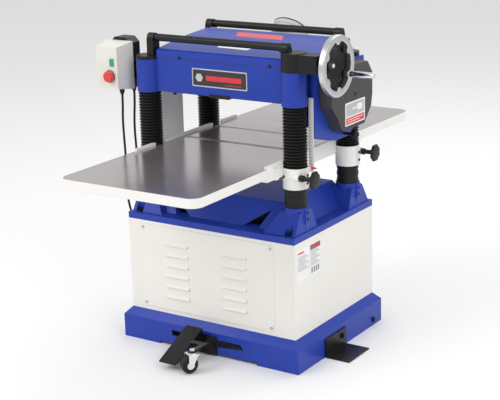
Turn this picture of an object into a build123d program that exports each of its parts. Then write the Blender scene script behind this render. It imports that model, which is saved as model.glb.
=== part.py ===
"""Four-column thickness planer with a rising table, built as separate pieces (millimetres).

X runs across the table, the board is fed along +Y and Z is up. Every piece is first drawn about
the middle of the table, and `keep` then moves it so that the origin is the middle of the
machine's footprint, on the floor.
"""
from build123d import *
import math
import os

os.makedirs("parts", exist_ok=True)

# ---- overall sizes ----
bed_width = 530.0            # table and extensions, side to side
table_length = 1396.0        # infeed tip to outfeed tip
main_length = 610.0          # the middle casting alone
column_x, column_y = 290.0, 173.0
column_r, column_bore_r = 25.0, 17.0
table_z = 689.0              # bed surface with the table at its lowest
table_travel = 178.0
open_gap = 183.0             # bed to cutting circle with the table at its lowest

# ---- base ----
cabinet_x, cabinet_y = 336.5, 266.0        # half width and half depth
plinth_x, plinth_y = 360.5, 290.0
plinth_side_z, plinth_z = 83.0, 109.0      # top of the upright sides, top of the chamfer
cabinet_top = 436.0
rim_h, rim_wall, rim_top_plate = 22.0, 10.0, 6.0
deck_z = 541.0                             # flat top of the base casting
deck_x, deck_y = 235.0, 160.0
skirt_x, skirt_y = 286.0, 216.0            # foot of the sloping sides, on the rim
casting_wall = 10.0
leg_r = 42.0                               # round head of each corner leg
sheet = 3.0
plinth_sheet = 4.0
flange = 25.0
wheel_gap = 1.5                            # wheels hang clear of the floor by this

# ---- table ----
collar_z0, collar_z1, collar_r = 603.0, 673.0, 42.0
lug_proud = 3.0                            # clamping lugs stand this far out of collars and legs
table_side_h, ext_h, plate_t, wall_t = 43.0, 31.0, 14.0, 10.0
ext_corner_r = 40.0
rib_w, rib_h = 10.0, 9.0                   # raised edge ribs of the middle casting
bed_roller_r, bed_roller_y = 19.0, (-45.0, 142.0)
bed_roller_len = 468.0
bed_roller_proud = 0.3
journal_r = 9.0
run = 0.06                                 # radial running clearance
seat = 0.3                                 # loose clearance between neighbours
knob_offset, stud_r = 32.0, 6.0            # lock stud beside its column
knob_r, knob_t, knob_reach = 30.5, 12.0, 96.0

# ---- head ----
boss_z0, boss_z1, boss_r = 874.0, 985.0, 42.0
beam_y, beam_t = 183.0, 20.0
beam_z0, beam_z1 = 877.0, 992.0
side_x0, side_x1 = 262.0, 285.0            # side plates that carry the shafts
side_y = 138.0
cutter_r, knife_proud, cutter_len = 38.0, 1.5, 504.0
cutter_z = table_z + open_gap + cutter_r + knife_proud
feed_r, feed_y, feed_len = 30.0, 95.0, 500.0
feed_z = cutter_z - cutter_r - knife_proud - 0.5 + feed_r
shaft_r = 15.0
cap_t, housing_z1 = 12.0, 1046.0
roll_z, roll_r, roll_y = 1059.0, 12.5, 173.0
roll_x0, roll_x1 = -254.0, 246.0
bracket_t, bracket_d = 26.0, 38.0

# ---- drives ----
wheel_z, wheel_x0, wheel_x1, wheel_r = 1014.0, 435.0, 456.0, 98.0
grip_len, grip_r = 87.0, 11.0
bevel_r, bevel_face, mesh_gap = 24.0, 10.0, 0.5
screw_r = 10.0
sprocket_r, sprocket_t, chain_t = 22.0, 8.0, 4.0
motor_z, motor_r = 290.0, 88.0
motor_x0, motor_x1 = -322.0, -70.0
motor_pulley_r, head_pulley_r, belt_t, belt_w = 62.0, 36.0, 9.0, 8.0
guard_x0, guard_y, guard_z0, guard_z1 = -400.0, 78.0, 212.0, 962.0
guard_sheet, guard_corner = 2.0, 20.0
pinion_r, gear_r = 12.0, 48.0

# ---- switch box, in its own corner ----
box_x0, box_x1, box_front, box_back = -458.0, -366.0, -250.0, -170.0
box_z0, box_z1, box_flare = 884.0, 1026.0, 9.0
housing_back = -118.0
cable_r = 4.0

# ---- pedal and caster ----
pedal_w, pedal_x, pedal_t = 65.0, -39.5, 5.0
pedal_y0, pedal_z0, pedal_y1, pedal_z1 = -310.0, 101.0, -473.0, 30.0
pin_r = 4.0
pivot_y, pivot_z = -322.0, 72.0            # the pedal's hinge
arm_y0, arm_y1, arm_z0, arm_z1 = -384.0, -362.0, 72.0, 77.0   # the caster's arm, where it leaves the pedal
caster_x, caster_pivot_y, caster_y, caster_r, caster_w = 42.0, -440.0, -453.0, 29.0, 30.0
caster_turn = -30.0                        # the caster is left swivelled by this, seen from above
rear_wheel_r, rear_wheel_w, rear_wheel_y = 20.0, 28.0, 228.0

grip_tip = wheel_x1 + grip_len
centre_x = (grip_tip + box_x0 - box_flare) / 2   # middle of the machine's whole width
corners = [(sx, sy) for sx in (-1, 1) for sy in (-1, 1)]


# ---- small helpers ----
def block(x0, x1, y0, y1, z0, z1):
    """A box between two ends on each axis, given in either order."""
    middle = Pos((x0 + x1) / 2, (y0 + y1) / 2, (z0 + z1) / 2)
    return middle * Box(abs(x1 - x0), abs(y1 - y0), abs(z1 - z0))


def middle_block(half_x, half_y, z0, z1):
    return block(-half_x, half_x, -half_y, half_y, z0, z1)


def rod(radius, start, end):
    line = Vector(*end) - Vector(*start)
    return extrude(Plane(origin=start, z_dir=line) * Circle(radius), amount=line.length)


def tube(outer, inner, start, end):
    return rod(outer, start, end) - rod(inner, start, end)


def slab(outline, axis, low, high):
    """An outline carried straight along one axis: (y, z) along x, (x, z) along y, (x, y) along z."""
    plane = {
        "x": Plane(origin=(low, 0, 0), x_dir=(0, 1, 0), z_dir=(1, 0, 0)),
        "y": Plane(origin=(0, high, 0), x_dir=(1, 0, 0), z_dir=(0, -1, 0)),
        "z": Plane(origin=(0, 0, low), x_dir=(1, 0, 0), z_dir=(0, 0, 1)),
    }[axis]
    face = outline if isinstance(outline, (Sketch, Face)) else Polygon(*outline, align=None)
    return extrude(plane * face, amount=high - low, dir=plane.z_dir)


def frustum(low_x, low_y, z0, high_x, high_y, z1):
    foot = Plane.XY.offset(z0) * Rectangle(2 * low_x, 2 * low_y)
    head = Plane.XY.offset(z1) * Rectangle(2 * high_x, 2 * high_y)
    return loft([foot, head])


def hex_bolt(radius, head_r, head_t, start, end):
    """Hexagon head on the near side of start, plain shank from start to end."""
    line = Vector(*end) - Vector(*start)
    head = extrude(Plane(origin=start, z_dir=line) * RegularPolygon(head_r, 6), amount=-head_t)
    return head + rod(radius, start, end)


def belt_loop(circles, thick, axis_low, axis_high):
    """A loop round several circles (y, z, r), clear of each by mesh_gap."""
    def hull(extra):
        edges = []
        for y, z, r in circles:
            edges += (Pos(y, z) * Circle(r + extra)).edges()
        return make_hull(edges)

    return slab(hull(mesh_gap + thick) - hull(mesh_gap), "x", axis_low, axis_high)


def keep(name, shape):
    solids = [Pos(-centre_x, 0, 0) * s for s in shape.solids()]
    export_step(solids[0] if len(solids) == 1 else Compound(solids), f"parts/{name}.step")


def group(pieces):
    return Compound([s for piece in pieces for s in piece.solids()])


# ---- plinth, cabinet and what is bolted to them ----
anchor_t, anchor_y0, anchor_y1, anchor_h, anchor_x1 = 5.0, -118.0, 22.0, 66.0, 455.0
anchor_hole_r, anchor_hole_x, anchor_hole_y = 6.0, 415.0, (-98.0, 2.0)
anchor_bolt_y, anchor_bolt_z, bolt_r = -2.0, 40.0, 5.0
axle_r, axle_z = 6.0, rear_wheel_r + wheel_gap
pedal_bracket_x0, pedal_bracket_x1 = pedal_x - pedal_w / 2 + pedal_t + seat, 36.0
pedal_bolts = [(23.0, 38.0), (-24.0, 16.0)]
slot_outline = [(-152, 40), (-152, 60), (133, 60), (146, 42), (34, 32)]
toe_x0, toe_x1, toe_h = -206.0, 198.0, 9.0
panel_x0, panel_x1, panel_z0, panel_z1, panel_t = -286.0, 258.0, 124.0, 424.0, 2.0
panel_lap = 24.0
shelf_z0, shelf_z1 = 194.0, 200.0
louvre_w, louvre_h, louvre_pitch, louvre_rows = 96.0, 6.0, 38.0, 6
louvre_z0 = 176.0
louvre_x = (-134.0, 102.0)
screw_inset = 12.0
base_bolt_x, base_bolt_y, base_bolt_r, bolt_seat_r = 302.0, 240.0, 6.0, 15.0
clamp_rows = (deck_z - 40, deck_z - 18)    # two screws clamp each column in its leg
junction_x0, junction_y0, junction_y1, junction_z0, junction_z1 = -392.0, -180.0, -104.0, 214.0, 298.0
junction_glands = [(-366.0, -160.0), (-366.0, -125.0)]   # (x, y) of the two cord inlets on its lid
gland_r, gland_t = 9.0, 10.0


def plinth():
    side = plinth_sheet
    top_open_x, top_open_y = cabinet_x - 1.5 * flange, cabinet_y - 1.5 * flange
    shape = middle_block(plinth_x, plinth_y, 0, plinth_side_z)
    shape += frustum(plinth_x, plinth_y, plinth_side_z, cabinet_x, cabinet_y, plinth_z)
    shape -= middle_block(plinth_x - side, plinth_y - side, 0, plinth_side_z - side)
    shape -= frustum(plinth_x - side, plinth_y - side, plinth_side_z - side,
                     cabinet_x - side, cabinet_y - side, plinth_z - side)
    shape -= middle_block(top_open_x, top_open_y, plinth_z - side, plinth_z)
    shape -= block(toe_x0, toe_x1, -plinth_y, -plinth_y + side, 0, toe_h)
    shape -= slab(slot_outline, "y", -plinth_y, -plinth_y + side)
    for sx in (-1, 1):
        outside = sx * plinth_x
        shape -= rod(bolt_r, (outside - sx * side, anchor_bolt_y, anchor_bolt_z),
                     (outside, anchor_bolt_y, anchor_bolt_z))
        shape -= rod(axle_r, (outside - sx * side, rear_wheel_y, axle_z), (outside, rear_wheel_y, axle_z))
        # an inner cheek carries the other end of each rear axle
        cheek_x = sx * (plinth_x - side - rear_wheel_w - 4 * seat - 2 * side)
        shape += block(cheek_x, cheek_x + sx * side, plinth_y - 3 * flange - side, plinth_y - side / 2,
                       side, plinth_side_z - side)
        shape -= rod(axle_r, (cheek_x, rear_wheel_y, axle_z), (cheek_x + sx * side, rear_wheel_y, axle_z))
    for x, z in pedal_bolts:
        shape -= rod(bolt_r, (x, -plinth_y, z), (x, -plinth_y + side, z))
    return shape


def cabinet():
    shape = middle_block(cabinet_x, cabinet_y, plinth_z, cabinet_top)
    shape -= middle_block(cabinet_x - sheet, cabinet_y - sheet, plinth_z + sheet, cabinet_top - sheet)
    shape -= middle_block(cabinet_x - 1.5 * flange, cabinet_y - 1.5 * flange, plinth_z, plinth_z + sheet)
    shape -= middle_block(cabinet_x - 2 * flange, cabinet_y - 2 * flange, cabinet_top - sheet, cabinet_top)
    shape -= block(panel_x0 + panel_lap, panel_x1 - panel_lap, -cabinet_y, -cabinet_y + sheet,
                   panel_z0 + panel_lap, panel_z1 - panel_lap)
    shape -= rod(2 * shaft_r, (-cabinet_x, 0, motor_z), (-cabinet_x + sheet, 0, motor_z))
    shape += block(motor_x0 - 8, motor_x1 + 30, -cabinet_y + sheet, cabinet_y - sheet, shelf_z0, shelf_z1)
    shape += block(junction_x0, -cabinet_x, junction_y0, junction_y1, junction_z0, junction_z1)
    shape -= block(junction_x0 + sheet, -cabinet_x + sheet, junction_y0 + sheet, junction_y1 - sheet,
                   junction_z0 + sheet, junction_z1 - sheet)
    for x, y in junction_glands:
        shape -= rod(cable_r + 1, (x, y, junction_z1 - sheet), (x, y, junction_z1))
    for sx, sy in corners:
        centre = (sx * base_bolt_x, sy * base_bolt_y)
        shape -= rod(base_bolt_r, (*centre, cabinet_top - sheet), (*centre, cabinet_top))
    for x in (panel_x0 + screw_inset, panel_x1 - screw_inset):
        for z in (panel_z0 + screw_inset, panel_z1 - screw_inset):
            shape -= rod(bolt_r / 2, (x, -cabinet_y, z), (x, -cabinet_y + sheet, z))
    return shape


def access_panel():
    front = -cabinet_y - panel_t
    shape = block(panel_x0, panel_x1, front, -cabinet_y, panel_z0, panel_z1)
    for x in louvre_x:
        for row in range(louvre_rows):
            z = louvre_z0 + row * louvre_pitch
            shape -= block(x - louvre_w / 2, x + louvre_w / 2, front, -cabinet_y, z - louvre_h, z)
            hood = [(front, z + louvre_h), (front, z), (front - louvre_h / 1.5, z - louvre_h),
                    (front - louvre_h / 1.5 - panel_t / 2, z - louvre_h), (front, z + louvre_h)]
            shape += slab(hood[:-1], "x", x - louvre_w / 2, x + louvre_w / 2)
    for x in (panel_x0 + screw_inset, panel_x1 - screw_inset):
        for z in (panel_z0 + screw_inset, panel_z1 - screw_inset):
            shape -= rod(bolt_r / 2, (x, front, z), (x, -cabinet_y, z))
    return shape


def base_casting():
    rim_z1 = cabinet_top + rim_h
    under_rim = rim_z1 - rim_top_plate
    shape = middle_block(cabinet_x, cabinet_y, cabinet_top, rim_z1)
    shape += frustum(skirt_x, skirt_y, rim_z1, deck_x, deck_y, deck_z)
    foot_w, foot_d = 62.0, 70.0
    for sx, sy in corners:
        foot = Pos(sx * (cabinet_x - foot_w - 6), sy * (cabinet_y - foot_d - 18), rim_z1)
        leg = loft([foot * Rectangle(2 * foot_w, 2 * foot_d),
                    Pos(sx * column_x, sy * column_y, deck_z - 14) * Rectangle(1.75 * leg_r, 1.75 * leg_r)])
        shape += leg
        shape += rod(leg_r, (sx * column_x, sy * column_y, rim_z1), (sx * column_x, sy * column_y, deck_z))
        shape += block(sx * column_x, sx * (column_x + leg_r + lug_proud), sy * column_y - 13,
                       sy * column_y + 13, deck_z - 52, deck_z - 4)
    shape -= middle_block(cabinet_x - rim_wall, cabinet_y - rim_wall, cabinet_top, under_rim)
    shape -= frustum(skirt_x - 3 * casting_wall, skirt_y - 3 * casting_wall, under_rim,
                     deck_x - 2 * casting_wall, deck_y - 2 * casting_wall, deck_z - casting_wall)
    window = [(200, 516), (108, rim_z1), (168, rim_z1)]
    for sx in (-1, 1):
        outline = [(sx * x, z) for x, z in window]
        shape -= slab(outline, "y", -skirt_y - 40, -deck_y + 2.2 * casting_wall)
        shape -= slab(outline, "y", deck_y - 2.2 * casting_wall, skirt_y + 40)
    for sx, sy in corners:
        x, y = sx * column_x, sy * column_y
        shape -= rod(column_r, (x, y, column_foot), (x, y, deck_z))
        shape -= rod(screw_r + run, (x, y, under_rim), (x, y, column_foot))
        shape -= rod(base_bolt_r, (sx * base_bolt_x, sy * base_bolt_y, cabinet_top),
                     (sx * base_bolt_x, sy * base_bolt_y, rim_z1))
        shape -= rod(bolt_seat_r, (sx * base_bolt_x, sy * base_bolt_y, rim_z1),
                     (sx * base_bolt_x, sy * base_bolt_y, deck_z))
        for z in clamp_rows:
            shape -= rod(bolt_r, (x + sx * (column_r - 1), y, z), (x + sx * (leg_r + lug_proud), y, z))
    return shape


def floor_brackets():
    pieces = []
    for sx in (-1, 1):
        inner, outer = sx * plinth_x, sx * anchor_x1
        wall = sx * (plinth_x + anchor_t)
        upright = block(inner, wall, anchor_y0, anchor_y1, 0, anchor_h)
        foot = block(inner, outer, anchor_y0, anchor_y1, 0, anchor_t)
        for y in anchor_hole_y:
            foot -= rod(anchor_hole_r, (sx * anchor_hole_x, y, 0), (sx * anchor_hole_x, y, anchor_t))
        upright -= rod(bolt_r, (inner, anchor_bolt_y, anchor_bolt_z), (wall, anchor_bolt_y, anchor_bolt_z))
        pieces.append(upright + foot)
    front = -plinth_y - pedal_t
    back = block(pedal_bracket_x0, pedal_bracket_x1, front, -plinth_y, 6, 72)
    for x, z in pedal_bolts:
        back -= rod(bolt_r, (x, front, z), (x, -plinth_y, z))
    ear_outline = [(-plinth_y, 36), (-plinth_y, 70), (-plinth_y - 14, pivot_z + 9),
                   (pivot_y - 4, pivot_z + 9), (pivot_y - 9, pivot_z - 7)]
    for x in (pedal_bracket_x0, pedal_x + pedal_w / 2 - 2 * pedal_t - seat):
        ear = slab(ear_outline, "x", x, x + pedal_t)
        ear -= rod(pin_r + run, (x, pivot_y, pivot_z), (x + pedal_t, pivot_y, pivot_z))
        back += ear
    pieces.append(back)
    return group(pieces)


def machine_bolts():
    pieces = []
    for sx, sy in corners:
        x, y = sx * base_bolt_x, sy * base_bolt_y
        pieces.append(hex_bolt(base_bolt_r, 11, 8, (x, y, cabinet_top + rim_h), (x, y, cabinet_top - 8)))
        for z in clamp_rows:
            outer = sx * (column_x + leg_r + lug_proud)
            pieces.append(rod(bolt_r, (sx * (column_x + column_r + seat), sy * column_y, z),
                              (outer + sx * 2, sy * column_y, z)))
    for sx in (-1, 1):
        face = sx * (plinth_x + anchor_t)
        pieces.append(hex_bolt(bolt_r, 9, 7, (face, anchor_bolt_y, anchor_bolt_z),
                               (sx * (plinth_x - 14), anchor_bolt_y, anchor_bolt_z)))
        axle_end = plinth_x - plinth_sheet - rear_wheel_w - 4 * seat - 2 * plinth_sheet - 4
        pieces.append(hex_bolt(axle_r, 10, 7, (sx * plinth_x, rear_wheel_y, axle_z),
                               (sx * axle_end, rear_wheel_y, axle_z)))
    for x, z in pedal_bolts:
        pieces.append(hex_bolt(bolt_r, 9, 6, (x, -plinth_y - pedal_t, z), (x, -plinth_y + 12, z)))
    front = -cabinet_y - panel_t
    for x in (panel_x0 + screw_inset, panel_x1 - screw_inset):
        for z in (panel_z0 + screw_inset, panel_z1 - screw_inset):
            pieces.append(rod(4.5, (x, front - 2.5, z), (x, front, z))
                          + rod(bolt_r / 2, (x, front, z), (x, -cabinet_y + 8, z)))
    return group(pieces)


# ---- columns, screws and their covers ----
column_foot = cabinet_top + rim_h + 12
key_w, nut_h = 11.4, 50.0
slot_w = 12.0
slot_z0 = 560.0
sprocket_z = cabinet_top + 5
key_reach = 33.0
nut_z0 = collar_z0 + 10
slot_z1 = nut_z0 + nut_h + table_travel + 20    # the nuts' keys stay inside the slots at full lift


def columns():
    pieces = []
    for sx, sy in corners:
        x, y = sx * column_x, sy * column_y
        column = tube(column_r, column_bore_r, (x, y, column_foot), (x, y, boss_z1))
        far = x - sx * (column_r + 1)
        column -= block(x, far, y - slot_w / 2, y + slot_w / 2, slot_z0, slot_z1)
        pieces.append(column)
    return group(pieces)


def lead_screw(sx, sy):
    """Screw with its chain sprocket; the driven one carries a bevel gear at its top."""
    x, y = sx * column_x, sy * column_y
    driven = sx > 0 and sy < 0
    top = wheel_z - bevel_r if driven else boss_z1 - 10
    shape = rod(screw_r, (x, y, sprocket_z), (x, y, top))
    shape += rod(sprocket_r, (x, y, sprocket_z), (x, y, sprocket_z + sprocket_t))
    if driven:
        shape += Pos(x, y, wheel_z - bevel_r + bevel_face / 2 - mesh_gap) * Cone(
            bevel_r, bevel_r - bevel_face, bevel_face)
    return shape


def nut_pocket(sx, sy, grow=0.0):
    """The nut's key, from inside the column out to its pocket in the collar."""
    x, y = sx * column_x, sy * column_y
    inner, outer = x - sx * (column_bore_r - 3), x - sx * key_reach
    return block(inner, outer, y - key_w / 2 - grow, y + key_w / 2 + grow,
                 nut_z0, nut_z0 + nut_h)


def lead_nuts():
    pieces = []
    for sx, sy in corners:
        x, y = sx * column_x, sy * column_y
        nut = rod(column_bore_r - seat, (x, y, nut_z0), (x, y, nut_z0 + nut_h)) + nut_pocket(sx, sy)
        pieces.append(nut - rod(screw_r + run, (x, y, nut_z0), (x, y, nut_z0 + nut_h)))
    return group(pieces)


def sleeves(outer, z0, z1):
    inner = column_r + seat
    return group([tube(outer, inner, (sx * column_x, sy * column_y, z0), (sx * column_x, sy * column_y, z1))
                  for sx, sy in corners])


# ---- table ----
screw_rows = (collar_z0 + 20, collar_z0 + 46)
roller_slot_r = bed_roller_r + 2.0
journal_reach = bed_width / 2 - 14
knob_z = collar_z0 + 42
ext_bolt_x = (-190.0, 0.0, 190.0)
ext_bolt_z = table_z - 23
arm_half, arm_drop = 30.0, 18.0            # corner arms: half width, and their top below the collar's
lug_half = 10.0                            # clamping lugs outside the collars
pointer_y0, pointer_y1 = -column_y + 10, -column_y + 27


def main_table():
    half = main_length / 2
    side = bed_width / 2
    low = table_z - table_side_h
    shape = block(-side, side, -half, half, low, table_z)
    for sx in (-1, 1):
        shape += block(sx * side, sx * (side - rib_w), -half, half, table_z, table_z + rib_h)
    # three pockets below the plate, parted by the two rollers' webs
    web = bed_roller_r + wall_t
    ends = [-half + wall_t, *(y + step for y in bed_roller_y for step in (-web, web)), half - wall_t]
    for near, far in zip(ends[::2], ends[1::2]):
        shape -= block(-side + wall_t, side - wall_t, near, far, low, table_z - plate_t)
    roller_half = bed_roller_len / 2 + 2
    for y in bed_roller_y:
        z = table_z - bed_roller_r + bed_roller_proud
        shape -= block(-roller_half, roller_half, y - roller_slot_r, y + roller_slot_r, low, z)
        shape -= rod(roller_slot_r, (-roller_half, y, z), (roller_half, y, z))
        shape -= rod(journal_r + run, (-journal_reach - 1, y, z), (journal_reach + 1, y, z))
    for sx, sy in corners:
        x, y = sx * column_x, sy * column_y
        arm_x, arm_end = sx * (bed_roller_len / 2 + 3), sx * (column_x + 6)
        shape += block(arm_x, arm_end, y - arm_half, y + arm_half, low, collar_z1 - arm_drop)
        rib_y = sy * (column_y + 84)
        shape += block(sx * side, sx * (side + 9), rib_y - 9, rib_y + 9, low, table_z - 6)
        shape += rod(collar_r, (x, y, collar_z0), (x, y, collar_z1))
        shape -= rod(collar_r + 1.5, (x, y, collar_z1), (x, y, table_z + rib_h))
        lug_end = sx * (column_x + collar_r + lug_proud)
        shape += block(x, lug_end, y - lug_half, y + lug_half, collar_z0 + 8, collar_z1 - 10)
        shape -= rod(column_r + run, (x, y, collar_z0), (x, y, collar_z1))
        shape -= nut_pocket(sx, sy) - rod(column_r - 1, (x, y, nut_z0), (x, y, nut_z0 + nut_h))
        for z in screw_rows:
            shape -= rod(bolt_r, (x + sx * (column_r + 1), y, z), (lug_end, y, z))
    for sy in (-1, 1):
        y = sy * (column_y + knob_offset)
        shape += rod(stud_r + 7, (column_x - 8, y, knob_z), (column_x + collar_r - 8, y, knob_z))
        shape -= rod(stud_r + run, (column_x - 30, y, knob_z), (column_x + collar_r, y, knob_z))
        for x in ext_bolt_x:
            shape -= rod(bolt_r, (x, sy * (half - wall_t), ext_bolt_z), (x, sy * half, ext_bolt_z))
        at = (column_x, sy * column_y)
        shape -= rod(column_r + run, (*at, collar_z0), (*at, collar_z1))
    # a small shelf on the near right collar carries the height pointer
    shelf_z = collar_z1 - 20
    shape += block(column_x + 26, column_x + 40, pointer_y0, pointer_y1, shelf_z, collar_z1)
    shape += block(column_x + 30, column_x + collar_r, pointer_y1 - 6, pointer_y1, shelf_z, collar_z1)
    shape -= rod(column_r + run, (column_x, -column_y, collar_z0), (column_x, -column_y, collar_z1))
    return shape


def extension(sy):
    side = bed_width / 2
    near, far = sy * main_length / 2, sy * table_length / 2
    low_y, high_y = sorted((near, far))
    plan = Pos(0, (low_y + high_y) / 2) * Rectangle(bed_width, high_y - low_y)
    plan = fillet([v for v in plan.vertices() if abs(v.Y - far) < 1], ext_corner_r)
    shape = slab(plan, "z", table_z - ext_h, table_z)
    inner = offset(plan, -wall_t)
    shape -= slab(inner, "z", table_z - ext_h, table_z - plate_t)
    rib = wall_t * 0.8
    for x in (-side / 3, side / 3):
        shape += block(x - rib / 2, x + rib / 2, low_y + wall_t, high_y - wall_t,
                       table_z - ext_h, table_z - plate_t)
    flange_in = near + sy * wall_t
    shape += block(-side, side, near, flange_in, table_z - table_side_h + 4, table_z - plate_t)
    for x in ext_bolt_x:
        shape -= rod(bolt_r, (x, near, ext_bolt_z), (x, near + sy * wall_t, ext_bolt_z))
    return shape


def table_bolts():
    pieces = []
    for sy in (-1, 1):
        y = sy * main_length / 2
        for x in ext_bolt_x:
            pieces.append(hex_bolt(bolt_r, 9, 7, (x, y + sy * wall_t, ext_bolt_z),
                                   (x, y - sy * wall_t, ext_bolt_z)))
    for sx, sy in corners:
        for z in screw_rows:
            start = sx * (column_x + column_r + 2)
            pieces.append(rod(bolt_r, (start, sy * column_y, z),
                              (sx * (column_x + collar_r + 5), sy * column_y, z)))
    return group(pieces)


def bed_roller(y):
    z = table_z - bed_roller_r + bed_roller_proud
    half = bed_roller_len / 2
    core = rod(journal_r, (-journal_reach, y, z), (journal_reach, y, z))
    return rod(bed_roller_r, (-half, y, z), (half, y, z)) + core


def lock_knob(sy):
    """Stud, neck and fluted round head on one axis."""
    y = sy * (column_y + knob_offset)
    neck_x = column_x + collar_r - 4
    head_x = column_x + knob_reach - knob_t
    shape = rod(stud_r, (column_x - 28, y, knob_z), (neck_x, y, knob_z))
    shape += rod(11, (neck_x, y, knob_z), (neck_x + 14, y, knob_z))
    shape += rod(7.5, (neck_x + 14, y, knob_z), (head_x, y, knob_z))
    head = rod(knob_r, (head_x, y, knob_z), (head_x + knob_t, y, knob_z))
    head = fillet(head.edges().filter_by(GeomType.CIRCLE), 4)
    return shape + head


def scale_pointer():
    z = collar_z1 - 8
    y = pointer_y1
    outline = [(column_x + 34, z + 7), (column_x + 68, z + 4), (column_x + 34, z - 8)]
    return slab(outline, "y", y, y + 1.6)


# ---- head ----
gear_x0, gear_x1 = side_x1, 333.0
slab_x1 = 345.0
cover_x = 388.0
gear_wall = 4.0
gear_y, gear_z0, gear_z1 = 128.0, 796.0, 985.0
knob_rod_y, knob_rod_z, knob_rod_r, ball_r = 50.0, 743.0, 5.0, 13.5
train_z = cutter_z - pinion_r - gear_r - 2 * mesh_gap
chain_x0, chain_x1 = 316.0, 324.0
feed_sprocket_r, train_sprocket_r = 22.0, 14.0
slab_outline = [(-140, 985), (-140, 763), (-45, 737), (0, 729), (80, 729), (135, 762), (190, 812),
                (190, 985)]
thin_x0, thin_y0 = 338.5, 150.0            # the slab's rear strip is thinner: collar screws pass it
cover_outline = [(-108, 945), (-66, 984), (138, 976), (171, 934), (171, 862), (162, 821), (115, 770),
                 (-24, 768), (-42, 780), (-62, 815), (-104, 861)]
cover_draft = 3.0


def head_casting():
    shape = None
    for sx, sy in corners:
        boss = rod(boss_r, (sx * column_x, sy * column_y, boss_z0), (sx * column_x, sy * column_y, boss_z1))
        shape = boss if shape is None else shape + boss
    for sy in (-1, 1):
        outer, inner = sy * beam_y, sy * (beam_y - beam_t)
        y0, y1 = outer, inner
        shape += block(-side_x1, side_x1, y0, y1, beam_z0, boss_z1)
        shape += block(-column_x + boss_r + seat, column_x - boss_r - seat, y0, y1, boss_z1, beam_z1)
    for sx in (-1, 1):
        x0, x1 = sorted((sx * side_x0, sx * side_x1))
        shape += block(x0, x1, -side_y - 2, side_y + 2, beam_z0, boss_z1)
    for sx, sy in corners:
        at = (sx * column_x, sy * column_y)
        shape -= rod(column_r, (*at, boss_z0), (*at, boss_z1))
    for sx in (-1, 1):
        a, b = sx * side_x0, sx * side_x1
        shape -= rod(shaft_r + run, (a, 0, cutter_z), (b, 0, cutter_z))
        for y in (-feed_y, feed_y):
            shape -= rod(journal_r + run, (a, y, feed_z), (b, y, feed_z))
        shape -= rod(finger_rod_r + run, (a - sx * 10, finger_y, finger_z),
                     (a + sx * 8, finger_y, finger_z))
    return shape


def gearbox_housing():
    shape = block(gear_x0, gear_x1, -gear_y, gear_y, gear_z0, gear_z1)
    shape -= block(gear_x0 + gear_wall, gear_x1, -gear_y + gear_wall, gear_y - gear_wall,
                   gear_z0 + gear_wall, gear_z1 - gear_wall)
    shape -= block(gear_x0, gear_x0 + gear_wall, -gear_y + gear_wall, gear_y - gear_wall,
                   beam_z0 + gear_wall, gear_z1 - gear_wall)
    rear_strip = block(gear_x1, thin_x0, thin_y0, 200, gear_z0 - 70, gear_z1)
    shape += slab(slab_outline, "x", gear_x1, slab_x1) - rear_strip
    shape -= rod(journal_r + run, (gear_x0, 0, train_z), (gear_x0 + gear_wall, 0, train_z))
    shape -= rod(journal_r + run, (gear_x1, 0, train_z), (slab_x1, 0, train_z))
    shape -= rod(knob_rod_r + run, (gear_x1, knob_rod_y, knob_rod_z), (slab_x1, knob_rod_y, knob_rod_z))
    return shape


def gear_cover():
    """Hollow cover, a little wider at its foot than at its face, open towards the housing."""
    face = Polygon(*cover_outline, align=None)
    foot = offset(face, cover_draft, kind=Kind.INTERSECTION)
    plane = Plane(origin=(slab_x1, 0, 0), x_dir=(0, 1, 0), z_dir=(1, 0, 0))
    wall = gear_wall
    outer = loft([plane * foot, plane.offset(cover_x - slab_x1) * face])
    inner = loft([plane * offset(foot, -wall, kind=Kind.INTERSECTION),
                  plane.offset(cover_x - slab_x1 - wall) * offset(face, -wall, kind=Kind.INTERSECTION)])
    return outer - inner


pulley_x0, pulley_x1 = -388.0, -352.0
knife_t, knife_d, knife_len = 3.0, 20.0, 500.0


def cutterhead():
    half = cutter_len / 2
    shape = rod(cutter_r, (-half, 0, cutter_z), (half, 0, cutter_z))
    shape += rod(shaft_r, (-side_x1 - 4, 0, cutter_z), (side_x1 + 4, 0, cutter_z))
    shape += rod(pinion_r, (side_x1 + 4, 0, cutter_z), (side_x1 + 26, 0, cutter_z))
    shape += rod(pinion_r, (guard_x0 + 10, 0, cutter_z), (-side_x1 - 4, 0, cutter_z))
    shape += rod(head_pulley_r, (pulley_x0, 0, cutter_z), (pulley_x1, 0, cutter_z))
    for turn in range(4):
        shape -= knife(turn)
    return shape


def knife(turn):
    at = Pos(0, 0, cutter_z) * Rot(45 + 90 * turn, 0, 0)
    depth = cutter_r + knife_proud - knife_d / 2
    return at * (Pos(0, 0, depth) * Box(knife_len, knife_t, knife_d))


def feed_roller(y, grooved):
    half = feed_len / 2
    shape = rod(feed_r, (-half, y, feed_z), (half, y, feed_z))
    if grooved:
        for turn in range(18):
            cutter = Pos(0, y, feed_z) * Rot(20 * turn, 0, 0) * (Pos(0, 0, feed_r) * Box(2 * half, 3, 3))
            shape -= cutter
    shape += rod(journal_r, (-side_x1 - 4, y, feed_z), (chain_x1 + 4, y, feed_z))
    return shape + rod(feed_sprocket_r, (chain_x0, y, feed_z), (chain_x1, y, feed_z))


def feed_gear():
    z = train_z
    shape = rod(journal_r, (gear_x0, 0, z), (slab_x1 + 6, 0, z))
    shape += rod(gear_r, (side_x1 + 6, 0, z), (side_x1 + 24, 0, z))
    return shape + rod(train_sprocket_r, (chain_x0, 0, z), (chain_x1, 0, z))


finger_rod_r, finger_y, finger_z = 5.0, -144.0, 922.0
finger_pitch, finger_t, finger_low = 20.0, 9.0, 875.0


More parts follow.
